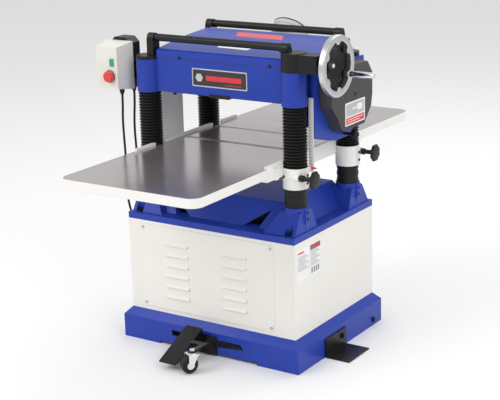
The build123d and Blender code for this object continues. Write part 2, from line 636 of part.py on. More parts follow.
def anti_kickback_fingers():
    """A row of pointed fingers hanging on one rod."""
    reach = side_x0 + 7
    shape = rod(finger_rod_r, (-reach, finger_y, finger_z), (reach, finger_y, finger_z))
    outline = [(finger_y - 9, finger_z + 9), (finger_y + 9, finger_z + 9), (finger_y + 9, finger_low + 14),
               (finger_y + 2, finger_low), (finger_y - 9, finger_low + 8)]
    count = int(2 * (side_x0 - finger_pitch) / finger_pitch) + 1
    for i in range(count):
        x = (i - (count - 1) / 2) * finger_pitch
        shape += slab(outline, "x", x - finger_t / 2, x + finger_t / 2)
    return shape


def pressure_bars():
    """Chip breaker before the cutters and pressure bar behind them, each with hooked ends."""
    low = table_z + open_gap + 1
    inside_ribs = bed_width / 2 - rib_w - 2
    pieces = []
    for near, far in ((-62, -47), (47, 62)):
        bar = block(-inside_ribs, inside_ribs, near, far, low, low + 8)
        bar += block(-side_x0, side_x0, near, far, low + 8, low + 62)
        pieces.append(bar - rod(cutter_r + 6, (-side_x0, 0, cutter_z), (side_x0, 0, cutter_z)))
    return group(pieces)


cover_back = 118.0
wing_front_z = 1028.2                      # height of the cover's top where it passes the near column
port_x, port_foot_y, port_foot_z, port_r, port_len = 14.0, 216.0, 992.0, 62.5, 74.0
port_neck_r, spigot_len = 60.5, 18.0       # the hose slips over the wider end of the outlet
port_lean = math.radians(42)               # the outlet leans back from upright by this
port_axis = Vector(0, math.sin(port_lean), math.cos(port_lean))


def top_cover():
    """Folded sheet over the head: upright front band and a top that rises to the rear."""
    t = sheet
    front = -beam_y
    inner_x = column_x - boss_r - 2 * seat
    wide_x0, wide_x1 = -inner_x, slab_x1 - 13
    narrow_y = -column_y + boss_r + 2 * seat
    profile = [(front, beam_z1), (front, 1017), (front + 8, 1022), (-140, 1027), (-2, 1043),
               (cover_back, 1051), (cover_back, 1051 - t), (-2, 1043 - t), (-140, 1027 - t),
               (front + 9, 1022 - t), (front + t, 1016), (front + t, beam_z1)]
    shape = slab(profile, "x", -inner_x, inner_x)
    wing = [(narrow_y, wing_front_z), (-2, 1043), (cover_back, 1051), (cover_back, 1051 - t),
            (-2, 1043 - t), (narrow_y, wing_front_z - t)]
    shape += slab(wing, "x", inner_x, wide_x1)
    cheek = [(narrow_y, boss_z1 + seat), (narrow_y, wing_front_z), (-2, 1043), (cover_back, 1051),
             (cover_back, boss_z1 + seat)]
    shape += slab(cheek, "x", wide_x1 - t, wide_x1)
    left = [(front, beam_z1), (front, 1017), (front + 8, 1022), (-140, 1027), (-2, 1043),
            (cover_back, 1051), (cover_back, beam_z1)]
    shape += slab(left, "x", wide_x0, wide_x0 + t)
    return shape


def dust_hood():
    """Hollow chip hood behind the cutters, with a round outlet that leans back."""
    t = sheet
    x0, x1 = -232.0, roll_x1 - 2 * seat
    outer = [(cover_back + seat, 1053), (156, 1046), (300, 985), (300, 940), (beam_y + seat, 940),
             (beam_y + seat, beam_z1 + seat), (cover_back + seat, beam_z1 + seat)]
    inner = [(cover_back + seat, 1053 - t), (156 - t, 1046 - t - 1), (300 - t, 985 - t), (300 - t, 940 + t),
             (beam_y + seat + t, 940 + t), (beam_y + seat + t, beam_z1 + seat + t),
             (cover_back + seat, beam_z1 + seat + t)]
    shape = slab(outer, "x", x0, x1) - slab(inner, "x", x0 + t, x1 - t)
    foot = Vector(port_x, port_foot_y, port_foot_z)
    step = tuple(foot + port_axis * (port_len - spigot_len))
    mouth = tuple(foot + port_axis * port_len)
    foot = tuple(foot)
    pipe = rod(port_neck_r, foot, step) + rod(port_r, step, mouth)
    pipe -= slab(inner, "x", x0 + t, x1 - t)
    shape += pipe
    return shape - rod(port_neck_r - t, foot, step) - rod(port_r - t, step, mouth)


bearing_x1 = 390.0                         # outer end of the handwheel's bearing


def column_caps():
    """Flat caps on three columns; the fourth is the hollow housing of the bevel gears."""
    pieces = []
    for sx, sy in corners:
        x, y = sx * column_x, sy * column_y
        if sx > 0 and sy < 0:
            continue
        pieces.append(rod(boss_r - seat, (x, y, boss_z1), (x, y, boss_z1 + cap_t)))
    x, y = column_x, -column_y
    shell = rod(boss_r - seat, (x, y, boss_z1), (x, y, housing_z1))
    shell += block(x, bearing_x1, y - 29, y + 29, boss_z1 + 1, housing_z1 - 2)
    shell -= rod(bevel_r + 4, (x, y, boss_z1), (x, y, housing_z1 - 5))
    shell -= rod(bevel_r + 2, (x, y, wheel_z), (x + bevel_r + 3, y, wheel_z))
    shell -= rod(shaft_r - 4 + run, (x, y, wheel_z), (bearing_x1, y, wheel_z))
    pieces.append(shell)
    return group(pieces)


def roller_brackets():
    """Four posts that hold the return rollers' pins."""
    pieces = []
    for x, side in ((roll_x0, -1), (roll_x1, 1)):
        for sy in (-1, 1):
            y = sy * roll_y
            x0, x1 = sorted((x + side * seat, x + side * (bracket_t + seat)))
            foot = housing_z1 if (side > 0 and sy < 0) else boss_z1 + cap_t
            post = block(x0, x1, y - bracket_d / 2, y + bracket_d / 2, foot, roll_z - 4)
            post += rod(bracket_d / 2 - 2, (x0, y, roll_z - 2), (x1, y, roll_z - 2))
            post -= block(x0, x1, y - bracket_d, y + bracket_d, foot - bracket_d, foot)
            post -= rod(pin_r + run, (x0, y, roll_z), (x1, y, roll_z))
            pieces.append(post)
    return group(pieces)


def return_roller(sy):
    y = sy * roll_y
    pin = bracket_t - 2
    shape = rod(roll_r, (roll_x0, y, roll_z), (roll_x1, y, roll_z))
    return shape + rod(pin_r, (roll_x0 - pin, y, roll_z), (roll_x1 + pin, y, roll_z))


def head_plates():
    """The maker's plate on the front beam and the height scale beside the near column."""
    return group([block(-101, 118, -beam_y - 2, -beam_y, 907, 968), block(323, 341, -142, -140, 652, 897)])


# ---- handwheel ----
lobe_r, hub_r, hub_x0, hub_x1, stem_r = 78.0, 17.0, 396.0, 427.0, 5.0
lobe_start = -28                           # angle of the first lobe, which also carries the grip


def handwheel():
    """Flat rim with six inward lobes, a dished web, hub and shaft with the second bevel gear."""
    y, z = -column_y, wheel_z
    rim = rod(wheel_r, (wheel_x0, y, z), (wheel_x1, y, z)) - rod(lobe_r, (wheel_x0, y, z), (wheel_x1, y, z))
    ring_in = rod(lobe_r + 1, (wheel_x0, y, z), (wheel_x1, y, z))
    for turn in range(6):
        angle = math.radians(lobe_start + 60 * turn)
        cy, cz = y + (lobe_r + 1) * math.cos(angle), z + (lobe_r + 1) * math.sin(angle)
        rim += rod(13, (wheel_x0, cy, cz), (wheel_x1, cy, cz)) & ring_in
    grip_at = grip_centre()
    rim -= rod(stem_r + run, (wheel_x0, *grip_at), (wheel_x1, *grip_at))
    web = Pos(0, y, z) * Rot(0, 90, 0) * revolve(
        Plane.XZ * Polygon((0, hub_x0), (hub_r, hub_x0), (hub_r + 6, hub_x0 + 6), (86, wheel_x0 - 5),
                           (86, wheel_x0), (80, wheel_x0), (hub_r + 6, hub_x0 + 12), (hub_r, hub_x0 + 14),
                           (hub_r, hub_x1), (0, hub_x1), align=None), Axis.Z)
    shaft_end = column_x + bevel_r - bevel_face
    shaft = rod(shaft_r - 4, (shaft_end, y, z), (hub_x0 + 4, y, z))
    gear = Pos(column_x + bevel_r - bevel_face / 2 + mesh_gap, y, z) * Rot(0, -90, 0) * Cone(
        bevel_r, bevel_r - bevel_face, bevel_face)
    core = web - rod(shaft_r - 4, (hub_x0, y, z), (hub_x0 + 4, y, z)) + shaft + gear
    return group([rim, core])


def grip_centre():
    angle = math.radians(lobe_start)
    return -column_y + (lobe_r - 2) * math.cos(angle), wheel_z + (lobe_r - 2) * math.sin(angle)


def handwheel_grip():
    y, z = grip_centre()
    body = rod(grip_r, (wheel_x1 + 2, y, z), (grip_tip, y, z))
    body = fillet(body.edges().filter_by(GeomType.CIRCLE), 4)
    return body + rod(stem_r, (wheel_x0 + 2, y, z), (wheel_x1 + 2, y, z))


# ---- motor and belts ----
def motor():
    shape = rod(motor_r, (motor_x0, 0, motor_z), (motor_x1, 0, motor_z))
    shape = fillet(shape.edges().filter_by(GeomType.CIRCLE), 12)
    shape += block(motor_x0 + 30, motor_x1 - 30, -72, 72, shelf_z1, motor_z - motor_r + 22)
    shape += block(motor_x0 + 70, motor_x1 - 90, -motor_r - 28, 0, motor_z - 30, motor_z + 40)
    return shape - rod(pinion_r + run, (motor_x0, 0, motor_z), (motor_x0 + 90, 0, motor_z))


def motor_pulley():
    shape = rod(pinion_r, (guard_x0 + 10, 0, motor_z), (motor_x0 + 88, 0, motor_z))
    return shape + rod(motor_pulley_r, (pulley_x0, 0, motor_z), (pulley_x1, 0, motor_z))


def drive_belts():
    circles = [(0, motor_z, motor_pulley_r), (0, cutter_z, head_pulley_r)]
    grooves = (pulley_x0 + 3, pulley_x0 + 14, pulley_x0 + 25)
    return group([belt_loop(circles, belt_t, x, x + belt_w) for x in grooves])


def belt_guard():
    """Sheet cover over the belts, rounded at its corners and chamfered round its face."""
    def form(wall, corner):
        body = block(guard_x0 + wall, -cabinet_x - wall, -guard_y + wall, guard_y - wall,
                     guard_z0 + wall, guard_z1 - wall)
        body = fillet(body.edges().filter_by(Axis.X), corner)
        return chamfer(body.faces().sort_by(Axis.X)[0].edges(), 8)

    t = guard_sheet
    shape = form(0, guard_corner) - form(t, guard_corner - t)
    for z in (motor_z, cutter_z):
        shape -= rod(pinion_r + 6, (-cabinet_x - t, 0, z), (-cabinet_x, 0, z))
    return shape


def drive_chains():
    """The lifting chain round the four screw sprockets, and the feed chain in the gearbox."""
    def loop(extra):
        reach = sprocket_r + extra
        return fillet(Rectangle(2 * (column_x + reach), 2 * (column_y + reach)).vertices(), reach)

    lift = slab(loop(mesh_gap + chain_t) - loop(mesh_gap), "z", sprocket_z, sprocket_z + sprocket_t)
    circles = [(-feed_y, feed_z, feed_sprocket_r), (feed_y, feed_z, feed_sprocket_r),
               (0, train_z, train_sprocket_r)]
    return group([lift, belt_loop(circles, chain_t, chain_x0, chain_x1)])


# ---- switch box ----
glands = [(-386.0, -205.0), (-386.0, -138.0)]   # (x, y) of the two cord outlets
gland_low = 858.0
start_x, start_z, stop_x, stop_z = -388.0, 974.0, -398.0, 926.0
start_half_x, start_half_z, stop_stem_r, stop_head_r = 8.0, 13.0, 12.0, 19.0
lid_shell = 3.0


def switch_lid():
    """Front box, wider at its back than at its face, hollow and open to the rear."""
    def ring(y, grow, z_grow):
        middle = ((box_x0 + box_x1) / 2, y, (box_z0 + box_z1) / 2)
        plane = Plane(origin=middle, x_dir=(1, 0, 0), z_dir=(0, 1, 0))
        return plane * Rectangle(box_x1 - box_x0 + 2 * grow, box_z1 - box_z0 + 2 * z_grow)

    outer = loft([ring(box_front, 0, 0), ring(box_back, box_flare, box_flare + 3)])
    inner = loft([ring(box_front + lid_shell, -lid_shell, -lid_shell),
                  ring(box_back, box_flare - lid_shell, box_flare)])
    shape = outer - inner
    shape -= block(start_x - start_half_x, start_x + start_half_x, box_front - 5, box_front + lid_shell + 1,
                   start_z - start_half_z, start_z + start_half_z)
    shape -= rod(stop_stem_r, (stop_x, box_front - 5, stop_z), (stop_x, box_front + lid_shell + 1, stop_z))
    gx, gy = glands[0]
    return shape - rod(gland_r - 3, (gx, gy, box_z0 - 30), (gx, gy, box_z0 + 20))


def switch_housing():
    """Rear half of the switch box, with a rounded crown, bracketed to the near boss."""
    plan = [(box_x0 + 4, box_z0 - 10), (box_x0 + 4, box_z1 + 4), (box_x0 + 22, box_z1 + 22),
            (box_x1 - 22, box_z1 + 22), (box_x1 - 2, box_z1 + 4), (box_x1 - 2, box_z0 - 10)]
    shape = slab(plan, "y", box_back + seat, housing_back)
    foot = block(box_x1 - 2, -column_x - 20, -158, -140, 905, 968)
    foot -= rod(boss_r, (-column_x, -column_y, boss_z0), (-column_x, -column_y, boss_z1))
    shape += foot
    shape -= block(box_x0 + 10, box_x1 - 8, box_back + seat, housing_back - 6, box_z0, box_z1 - 2)
    gx, gy = glands[1]
    return shape - rod(gland_r - 3, (gx, gy, box_z0 - 30), (gx, gy, box_z0 + 4))


def start_button():
    half_x, half_z = start_half_x - seat, start_half_z - seat
    return block(start_x - half_x, start_x + half_x, box_front - 4, box_front + 14,
                 start_z - half_z, start_z + half_z)


def stop_button():
    y = box_front
    shape = rod(stop_stem_r - seat, (stop_x, y - 6, stop_z), (stop_x, y + 14, stop_z))
    head = rod(stop_head_r, (stop_x, y - 18, stop_z), (stop_x, y - 6, stop_z))
    return shape + fillet(head.edges().filter_by(GeomType.CIRCLE).sort_by(Axis.Y)[:1], 4)


def lid_floor(y):
    """Height of the sloping underside of the switch lid at y."""
    share = (y - box_front) / (box_back - box_front)
    return box_z0 - share * (box_flare + 3)


def cable_glands():
    pieces = []
    for (x, y), top in zip(glands, (lid_floor(glands[0][1]) - 2, box_z0 - 10)):
        nut = tube(gland_r, cable_r, (x, y, gland_low + 8), (x, y, top))
        neck = Pos(x, y, gland_low + 4) * Cone(cable_r + 2, gland_r - 1, 8)
        pieces.append(nut + (neck - rod(cable_r, (x, y, gland_low), (x, y, gland_low + 8))))
    for x, y in junction_glands:
        pieces.append(rod(gland_r, (x, y, junction_z1), (x, y, junction_z1 + gland_t)))
    return group(pieces)


motor_lead_route = [
    (-386, -205, 858), (-386, -205, 820), (-389, -206, 770), (-386, -208, 716), (-381, -211, 660),
    (-379, -213, 602), (-380, -213, 544), (-381, -211, 496), (-378, -206, 454), (-374, -195, 416),
    (-370, -179, 382), (-367, -166, 354), (-366, -160, 330), (-366, -160, 308)]
supply_lead_route = [
    (-386, -138, 858), (-386, -138, 820), (-391, -138, 770), (-392, -139, 716), (-388, -140, 660),
    (-386, -141, 602), (-388, -141, 544), (-389, -140, 496), (-386, -138, 454), (-381, -135, 416),
    (-375, -131, 382), (-369, -127, 354), (-366, -125, 330), (-366, -125, 308)]


def cord(name, route):
    """A tube of straight runs joined by arcs, each as large as its two runs allow."""
    points = [Vector(*p) for p in route]
    radii = []
    for before, at, after in zip(points, points[1:], points[2:]):
        first, second = at - before, after - at
        turn = math.radians(first.get_angle(second))
        radii.append(0.45 * min(first.length, second.length) / math.tan(turn / 2))
    path = FilletPolyline(*points, radius=radii)
    tube_solid = sweep(Plane(origin=points[0], z_dir=points[1] - points[0]) * Circle(cable_r), path=path)
    share = tube_solid.volume / (math.pi * cable_r ** 2 * path.length)
    print(name, "length", round(path.length), "volume share", round(share, 4),
          "radii", [round(r) for r in radii])
    return tube_solid


# ---- pedal and caster ----
def pedal():
    """Sloping channel with tapering side walls, and a side arm for the caster."""
    run_y, drop = pedal_y1 - pedal_y0, pedal_z1 - pedal_z0

    def on_top(y, below=0.0):
        return (y, pedal_z0 + drop * (y - pedal_y0) / run_y - below)

    x0, x1 = pedal_x - pedal_w / 2, pedal_x + pedal_w / 2
    top = [on_top(pedal_y0), on_top(pedal_y1), on_top(pedal_y1, pedal_t), on_top(pedal_y0, pedal_t)]
    shape = slab(top, "x", x0, x1)
    side = [on_top(pedal_y0), on_top(pedal_y1), on_top(pedal_y1, pedal_t), on_top(-395, 34),
            on_top(pedal_y0 - 8, 40), on_top(pedal_y0, 34)]
    for x in (x0, x1 - pedal_t):
        shape += slab(side, "x", x, x + pedal_t)
    shape += block(x1 - 2, caster_x + 10, arm_y0, arm_y1, arm_z0, arm_z1)
    shape += block(caster_x - 10, caster_x + 10, caster_pivot_y - 12, arm_y1, arm_z0, arm_z1)
    shape += block(x1 - 2, x1 + 3, arm_y0, arm_y1, 40, arm_z1)
    shape += rod(pin_r, (pedal_bracket_x0 - 4, pivot_y, pivot_z), (x1, pivot_y, pivot_z))
    hole_y = pedal_y1 + 26
    shape -= rod(4, (pedal_x - 12, hole_y, 0), (pedal_x - 12, hole_y, 80))
    return shape - rod(stem_r + run, (caster_x, caster_pivot_y, arm_z0), (caster_x, caster_pivot_y, arm_z1))


def swivelled(shape):
    """The caster's pieces are drawn straight and then turned about the swivel pin."""
    pivot = Pos(caster_x, caster_pivot_y, 0)
    return pivot * Rot(0, 0, caster_turn) * pivot.inverse() * shape


def caster_fork():
    """Swivel pin, race and two legs that trail back to the wheel's axle."""
    axle = (caster_y, caster_r + wheel_gap)
    crown_z0, crown_z1 = arm_z0 - 9, arm_z0 - 4
    inner = caster_w / 2 + 1.5
    shape = rod(stem_r, (caster_x, caster_pivot_y, crown_z1), (caster_x, caster_pivot_y, arm_z1 + 4))
    shape += rod(9, (caster_x, caster_pivot_y, arm_z1 + seat), (caster_x, caster_pivot_y, arm_z1 + 5))
    shape += rod(16, (caster_x, caster_pivot_y, crown_z1), (caster_x, caster_pivot_y, arm_z0 - seat))
    shape += block(caster_x - inner - 3, caster_x + inner + 3, caster_pivot_y - 20, caster_pivot_y + 17,
                   crown_z0, crown_z1)
    leg = [(caster_pivot_y + 15, crown_z1), (caster_pivot_y - 20, crown_z1), (axle[0] - 8, axle[1] - 4),
           (axle[0], axle[1] - 9), (axle[0] + 8, axle[1] - 4)]
    for x in (caster_x - inner - 3, caster_x + inner):
        shape += slab(leg, "x", x, x + 3)
    return swivelled(shape + rod(pin_r, (caster_x - inner - 5, *axle), (caster_x + inner + 5, *axle)))


def caster_wheel():
    axle = (caster_y, caster_r + wheel_gap)
    half = caster_w / 2
    tyre = rod(caster_r, (caster_x - half, *axle), (caster_x + half, *axle))
    tyre = fillet(tyre.edges().filter_by(GeomType.CIRCLE), 7)
    return swivelled(tyre - rod(pin_r + run, (caster_x - half, *axle), (caster_x + half, *axle)))


def rear_wheel(sx):
    out_x = sx * (plinth_x - plinth_sheet - 2 * seat)
    in_x = out_x - sx * rear_wheel_w
    wheel = rod(rear_wheel_r, (in_x, rear_wheel_y, axle_z), (out_x, rear_wheel_y, axle_z))
    wheel = fillet(wheel.edges().filter_by(GeomType.CIRCLE), 2)
    return wheel - rod(axle_r + run, (in_x, rear_wheel_y, axle_z), (out_x, rear_wheel_y, axle_z))


def shift_knob():
    shape = rod(knob_rod_r, (gear_x1 + 1, knob_rod_y, knob_rod_z), (cover_x - 8, knob_rod_y, knob_rod_z))
    ball = Pos(cover_x, knob_rod_y, knob_rod_z) * Sphere(ball_r)
    return shape + ball


# ---- every node ----
keep("plinth", plinth())
keep("cabinet", cabinet())
keep("access_panel", access_panel())
keep("machine_bolts", machine_bolts())
keep("floor_brackets", floor_brackets())
keep("base_casting", base_casting())
keep("columns", columns())
keep("lower_boots", sleeves(38.0, deck_z, collar_z0))
keep("upper_bellows", sleeves(40.0, collar_z1, boss_z0))
keep("lead_nuts", lead_nuts())
for (sx, sy), corner in zip(corners, ("front_left", "rear_left", "front_right", "rear_right")):
    keep(f"lead_screw_{corner}", lead_screw(sx, sy))
keep("main_table", main_table())
keep("infeed_extension", extension(-1))
keep("outfeed_extension", extension(1))
keep("table_bolts", table_bolts())
keep("bed_roller_front", bed_roller(bed_roller_y[0]))
keep("bed_roller_rear", bed_roller(bed_roller_y[1]))
keep("lock_knob_front", lock_knob(-1))
keep("lock_knob_rear", lock_knob(1))
keep("scale_pointer", scale_pointer())
keep("head_casting", head_casting())
keep("gearbox_housing", gearbox_housing())
keep("gear_cover", gear_cover())
keep("cutterhead", cutterhead())
keep("cutter_knives", group([knife(turn) for turn in range(4)]))
keep("infeed_roller", feed_roller(-feed_y, True))
keep("outfeed_roller", feed_roller(feed_y, False))
keep("feed_gear", feed_gear())
keep("anti_kickback_fingers", anti_kickback_fingers())
keep("pressure_bars", pressure_bars())
keep("top_cover", top_cover())
keep("dust_hood", dust_hood())
keep("column_caps", column_caps())
keep("roller_brackets", roller_brackets())
keep("return_roller_front", return_roller(-1))
keep("return_roller_rear", return_roller(1))
keep("head_plates", head_plates())
keep("handwheel", handwheel())
keep("handwheel_grip", handwheel_grip())
keep("motor", motor())
keep("motor_pulley", motor_pulley())
keep("drive_belts", drive_belts())
keep("belt_guard", belt_guard())
keep("drive_chains", drive_chains())
keep("switch_lid", switch_lid())
keep("switch_housing", switch_housing())
keep("start_button", start_button())
keep("stop_button", stop_button())
keep("cable_glands", cable_glands())
keep("motor_lead", cord("motor_lead", motor_lead_route))
keep("supply_lead", cord("supply_lead", supply_lead_route))
keep("pedal", pedal())
keep("caster_fork", caster_fork())
keep("caster_wheel", caster_wheel())
keep("rear_wheel_left", rear_wheel(-1))
keep("rear_wheel_right", rear_wheel(1))
keep("shift_knob", shift_knob())
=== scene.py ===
# Looks for a four-column thickness planer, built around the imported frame.
# Sizes in the dictionaries are millimetres about the middle of the table, unless they say otherwise;
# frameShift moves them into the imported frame.
import math

import bmesh
import bpy
import numpy as np
from mathutils import Matrix, Vector


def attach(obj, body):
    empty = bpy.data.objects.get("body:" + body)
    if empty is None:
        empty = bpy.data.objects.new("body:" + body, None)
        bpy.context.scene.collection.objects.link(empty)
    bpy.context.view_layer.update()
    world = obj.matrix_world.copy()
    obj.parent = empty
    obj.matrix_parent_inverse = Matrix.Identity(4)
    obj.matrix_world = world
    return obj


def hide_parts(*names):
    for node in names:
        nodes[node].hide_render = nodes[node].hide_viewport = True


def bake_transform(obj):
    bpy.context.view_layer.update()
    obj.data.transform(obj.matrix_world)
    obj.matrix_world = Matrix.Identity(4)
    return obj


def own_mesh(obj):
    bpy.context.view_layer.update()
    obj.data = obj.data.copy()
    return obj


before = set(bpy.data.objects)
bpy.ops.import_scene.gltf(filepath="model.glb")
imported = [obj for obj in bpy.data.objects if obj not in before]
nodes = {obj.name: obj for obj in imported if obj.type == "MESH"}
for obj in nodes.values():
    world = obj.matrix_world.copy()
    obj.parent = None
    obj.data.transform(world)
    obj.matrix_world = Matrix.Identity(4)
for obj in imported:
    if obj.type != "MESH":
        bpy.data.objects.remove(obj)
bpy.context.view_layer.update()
scene = bpy.context.scene
frameShift = np.array([38.0, 0.0, 0.0])
columnAt = [(sx * 290.0, sy * 173.0) for sx in (-1, 1) for sy in (-1, 1)]
print("frame loaded:", len(nodes), "nodes")

cameraView = {"place": (2461.3, -3725.6, 1757.1), "azimuth": 33.5, "elevation": 16.0, "roll": -1.5,
              "lens": 95.5, "sensor": 36.0, "clip": (0.1, 60.0)}


# looks along the azimuth and elevation, then turns by the roll about that line
def addCamera(v):
    az, el, roll = (math.radians(v[k]) for k in ("azimuth", "elevation", "roll"))
    forward = -np.array([math.sin(az) * math.cos(el), -math.cos(az) * math.cos(el), math.sin(el)])
    right = np.cross(forward, [0, 0, 1])
    right /= np.linalg.norm(right)
    up = np.cross(right, forward)
    x = right * math.cos(roll) + up * math.sin(roll)
    y = -right * math.sin(roll) + up * math.cos(roll)
    turn = Matrix(np.column_stack([x, y, -forward]).tolist())
    lensData = bpy.data.cameras.new("camera")
    lensData.lens = v["lens"]
    lensData.sensor_width = v["sensor"]
    lensData.clip_start, lensData.clip_end = v["clip"]
    eye = bpy.data.objects.new("camera", lensData)
    scene.collection.objects.link(eye)
    eye.location = (np.array(v["place"]) - frameShift) / 1000
    eye.rotation_mode = "QUATERNION"
    eye.rotation_quaternion = turn.to_quaternion()
    scene.camera = eye


addCamera(cameraView)


# an empty shader group with named inputs and outputs
def newGroup(name, inputs, outputs):
    group = bpy.data.node_groups.new(name, "ShaderNodeTree")
    for label, kind, value in inputs:
        socket = group.interface.new_socket(label, in_out="INPUT", socket_type=kind)
        socket.default_value = value
    for label, kind in outputs:
        group.interface.new_socket(label, in_out="OUTPUT", socket_type=kind)
    return group, group.nodes.new("NodeGroupInput"), group.nodes.new("NodeGroupOutput")


def link(tree, *pairs):
    for source, target in pairs:
        tree.links.new(source, target)


def mathNode(tree, operation, first, second=None, clamp=False):
    node = tree.nodes.new("ShaderNodeMath")
    node.operation = operation
    node.use_clamp = clamp
    for socket, value in zip(node.inputs, (first, second)):
        if isinstance(value, (int, float)):
            socket.default_value = value
        elif value is not None:
            tree.links.new(value, socket)
    return node.outputs[0]


def noiseNode(tree, vector, scale, detail=3.0, rough=0.55):
    node = tree.nodes.new("ShaderNodeTexNoise")
    for label, value in (("Scale", scale), ("Detail", detail), ("Roughness", rough)):
        if isinstance(value, (int, float)):
            node.inputs[label].default_value = value
        else:
            tree.links.new(value, node.inputs[label])
    tree.links.new(vector, node.inputs["Vector"])
    return node.outputs["Fac"]


# broad clouds and fine speckle, each about one half on average
def makeMottle():
    inputs = [("Broad", "NodeSocketFloat", 6.0), ("Fine", "NodeSocketFloat", 300.0)]
    group, ins, outs = newGroup("mottle", inputs,
                                [("Clouds", "NodeSocketFloat"), ("Grain", "NodeSocketFloat")])
    where = group.nodes.new("ShaderNodeTexCoord").outputs["Object"]
    clouds = noiseNode(group, where, ins.outputs["Broad"])
    grain = noiseNode(group, where, ins.outputs["Fine"], 2.0)
    link(group, (clouds, outs.inputs["Clouds"]), (grain, outs.inputs["Grain"]))
    return group


# rounded normals at sharp edges, and how far they lean from the flat face, as a mask
def makeEdges():
    inputs = [("Radius", "NodeSocketFloat", 0.0015), ("Sharpness", "NodeSocketFloat", 6.0)]
    group, ins, outs = newGroup("edges", inputs,
                                [("Normal", "NodeSocketVector"), ("Mask", "NodeSocketFloat")])
    rounding = group.nodes.new("ShaderNodeBevel")
    rounding.samples = 4
    flat = group.nodes.new("ShaderNodeNewGeometry")
    dot = group.nodes.new("ShaderNodeVectorMath")
    dot.operation = "DOT_PRODUCT"
    link(group, (ins.outputs["Radius"], rounding.inputs["Radius"]),
         (rounding.outputs["Normal"], dot.inputs[0]), (flat.outputs["Normal"], dot.inputs[1]))
    lean = mathNode(group, "SUBTRACT", 1.0, dot.outputs["Value"])
    mask = mathNode(group, "MULTIPLY", lean, ins.outputs["Sharpness"], clamp=True)
    link(group, (rounding.outputs["Normal"], outs.inputs["Normal"]), (mask, outs.inputs["Mask"]))
    return group


# noise squeezed hard across one axis gives fine parallel scratches
def makeBrushing():
    group, ins, outs = newGroup("brushing", [("Across", "NodeSocketVector", (900.0, 8.0, 8.0))],
                                [("Lines", "NodeSocketFloat")])
    where = group.nodes.new("ShaderNodeTexCoord").outputs["Object"]
    stretch = group.nodes.new("ShaderNodeVectorMath")
    stretch.operation = "MULTIPLY"
    link(group, (where, stretch.inputs[0]), (ins.outputs["Across"], stretch.inputs[1]))
    lines = noiseNode(group, stretch.outputs["Vector"], 1.0, 2.0, 0.7)
    link(group, (lines, outs.inputs["Lines"]))
    return group


groups = {"mottle": makeMottle(), "edges": makeEdges(), "brushing": makeBrushing()}


def useGroup(tree, name, **values):
    node = tree.nodes.new("ShaderNodeGroup")
    node.node_tree = groups[name]
    for label, value in values.items():
        node.inputs[label].default_value = value
    return node.outputs


def mixColour(tree, share, first, second):
    node = tree.nodes.new("ShaderNodeMix")
    node.data_type = "RGBA"
    sockets = (node.inputs["Factor"], node.inputs[6], node.inputs[7])
    for socket, value in zip(sockets, (share, first, second)):
        if isinstance(value, bpy.types.NodeSocket):
            tree.links.new(value, socket)
        else:
            socket.default_value = (*value, 1.0) if isinstance(value, tuple) else value
    return node.outputs[2]


def mapRange(tree, value, low, high, newLow, newHigh):
    node = tree.nodes.new("ShaderNodeMapRange")
    for label, number in (("From Min", low), ("From Max", high), ("To Min", newLow), ("To Max", newHigh)):
        node.inputs[label].default_value = number
    tree.links.new(value, node.inputs["Value"])
    return node.outputs["Result"]


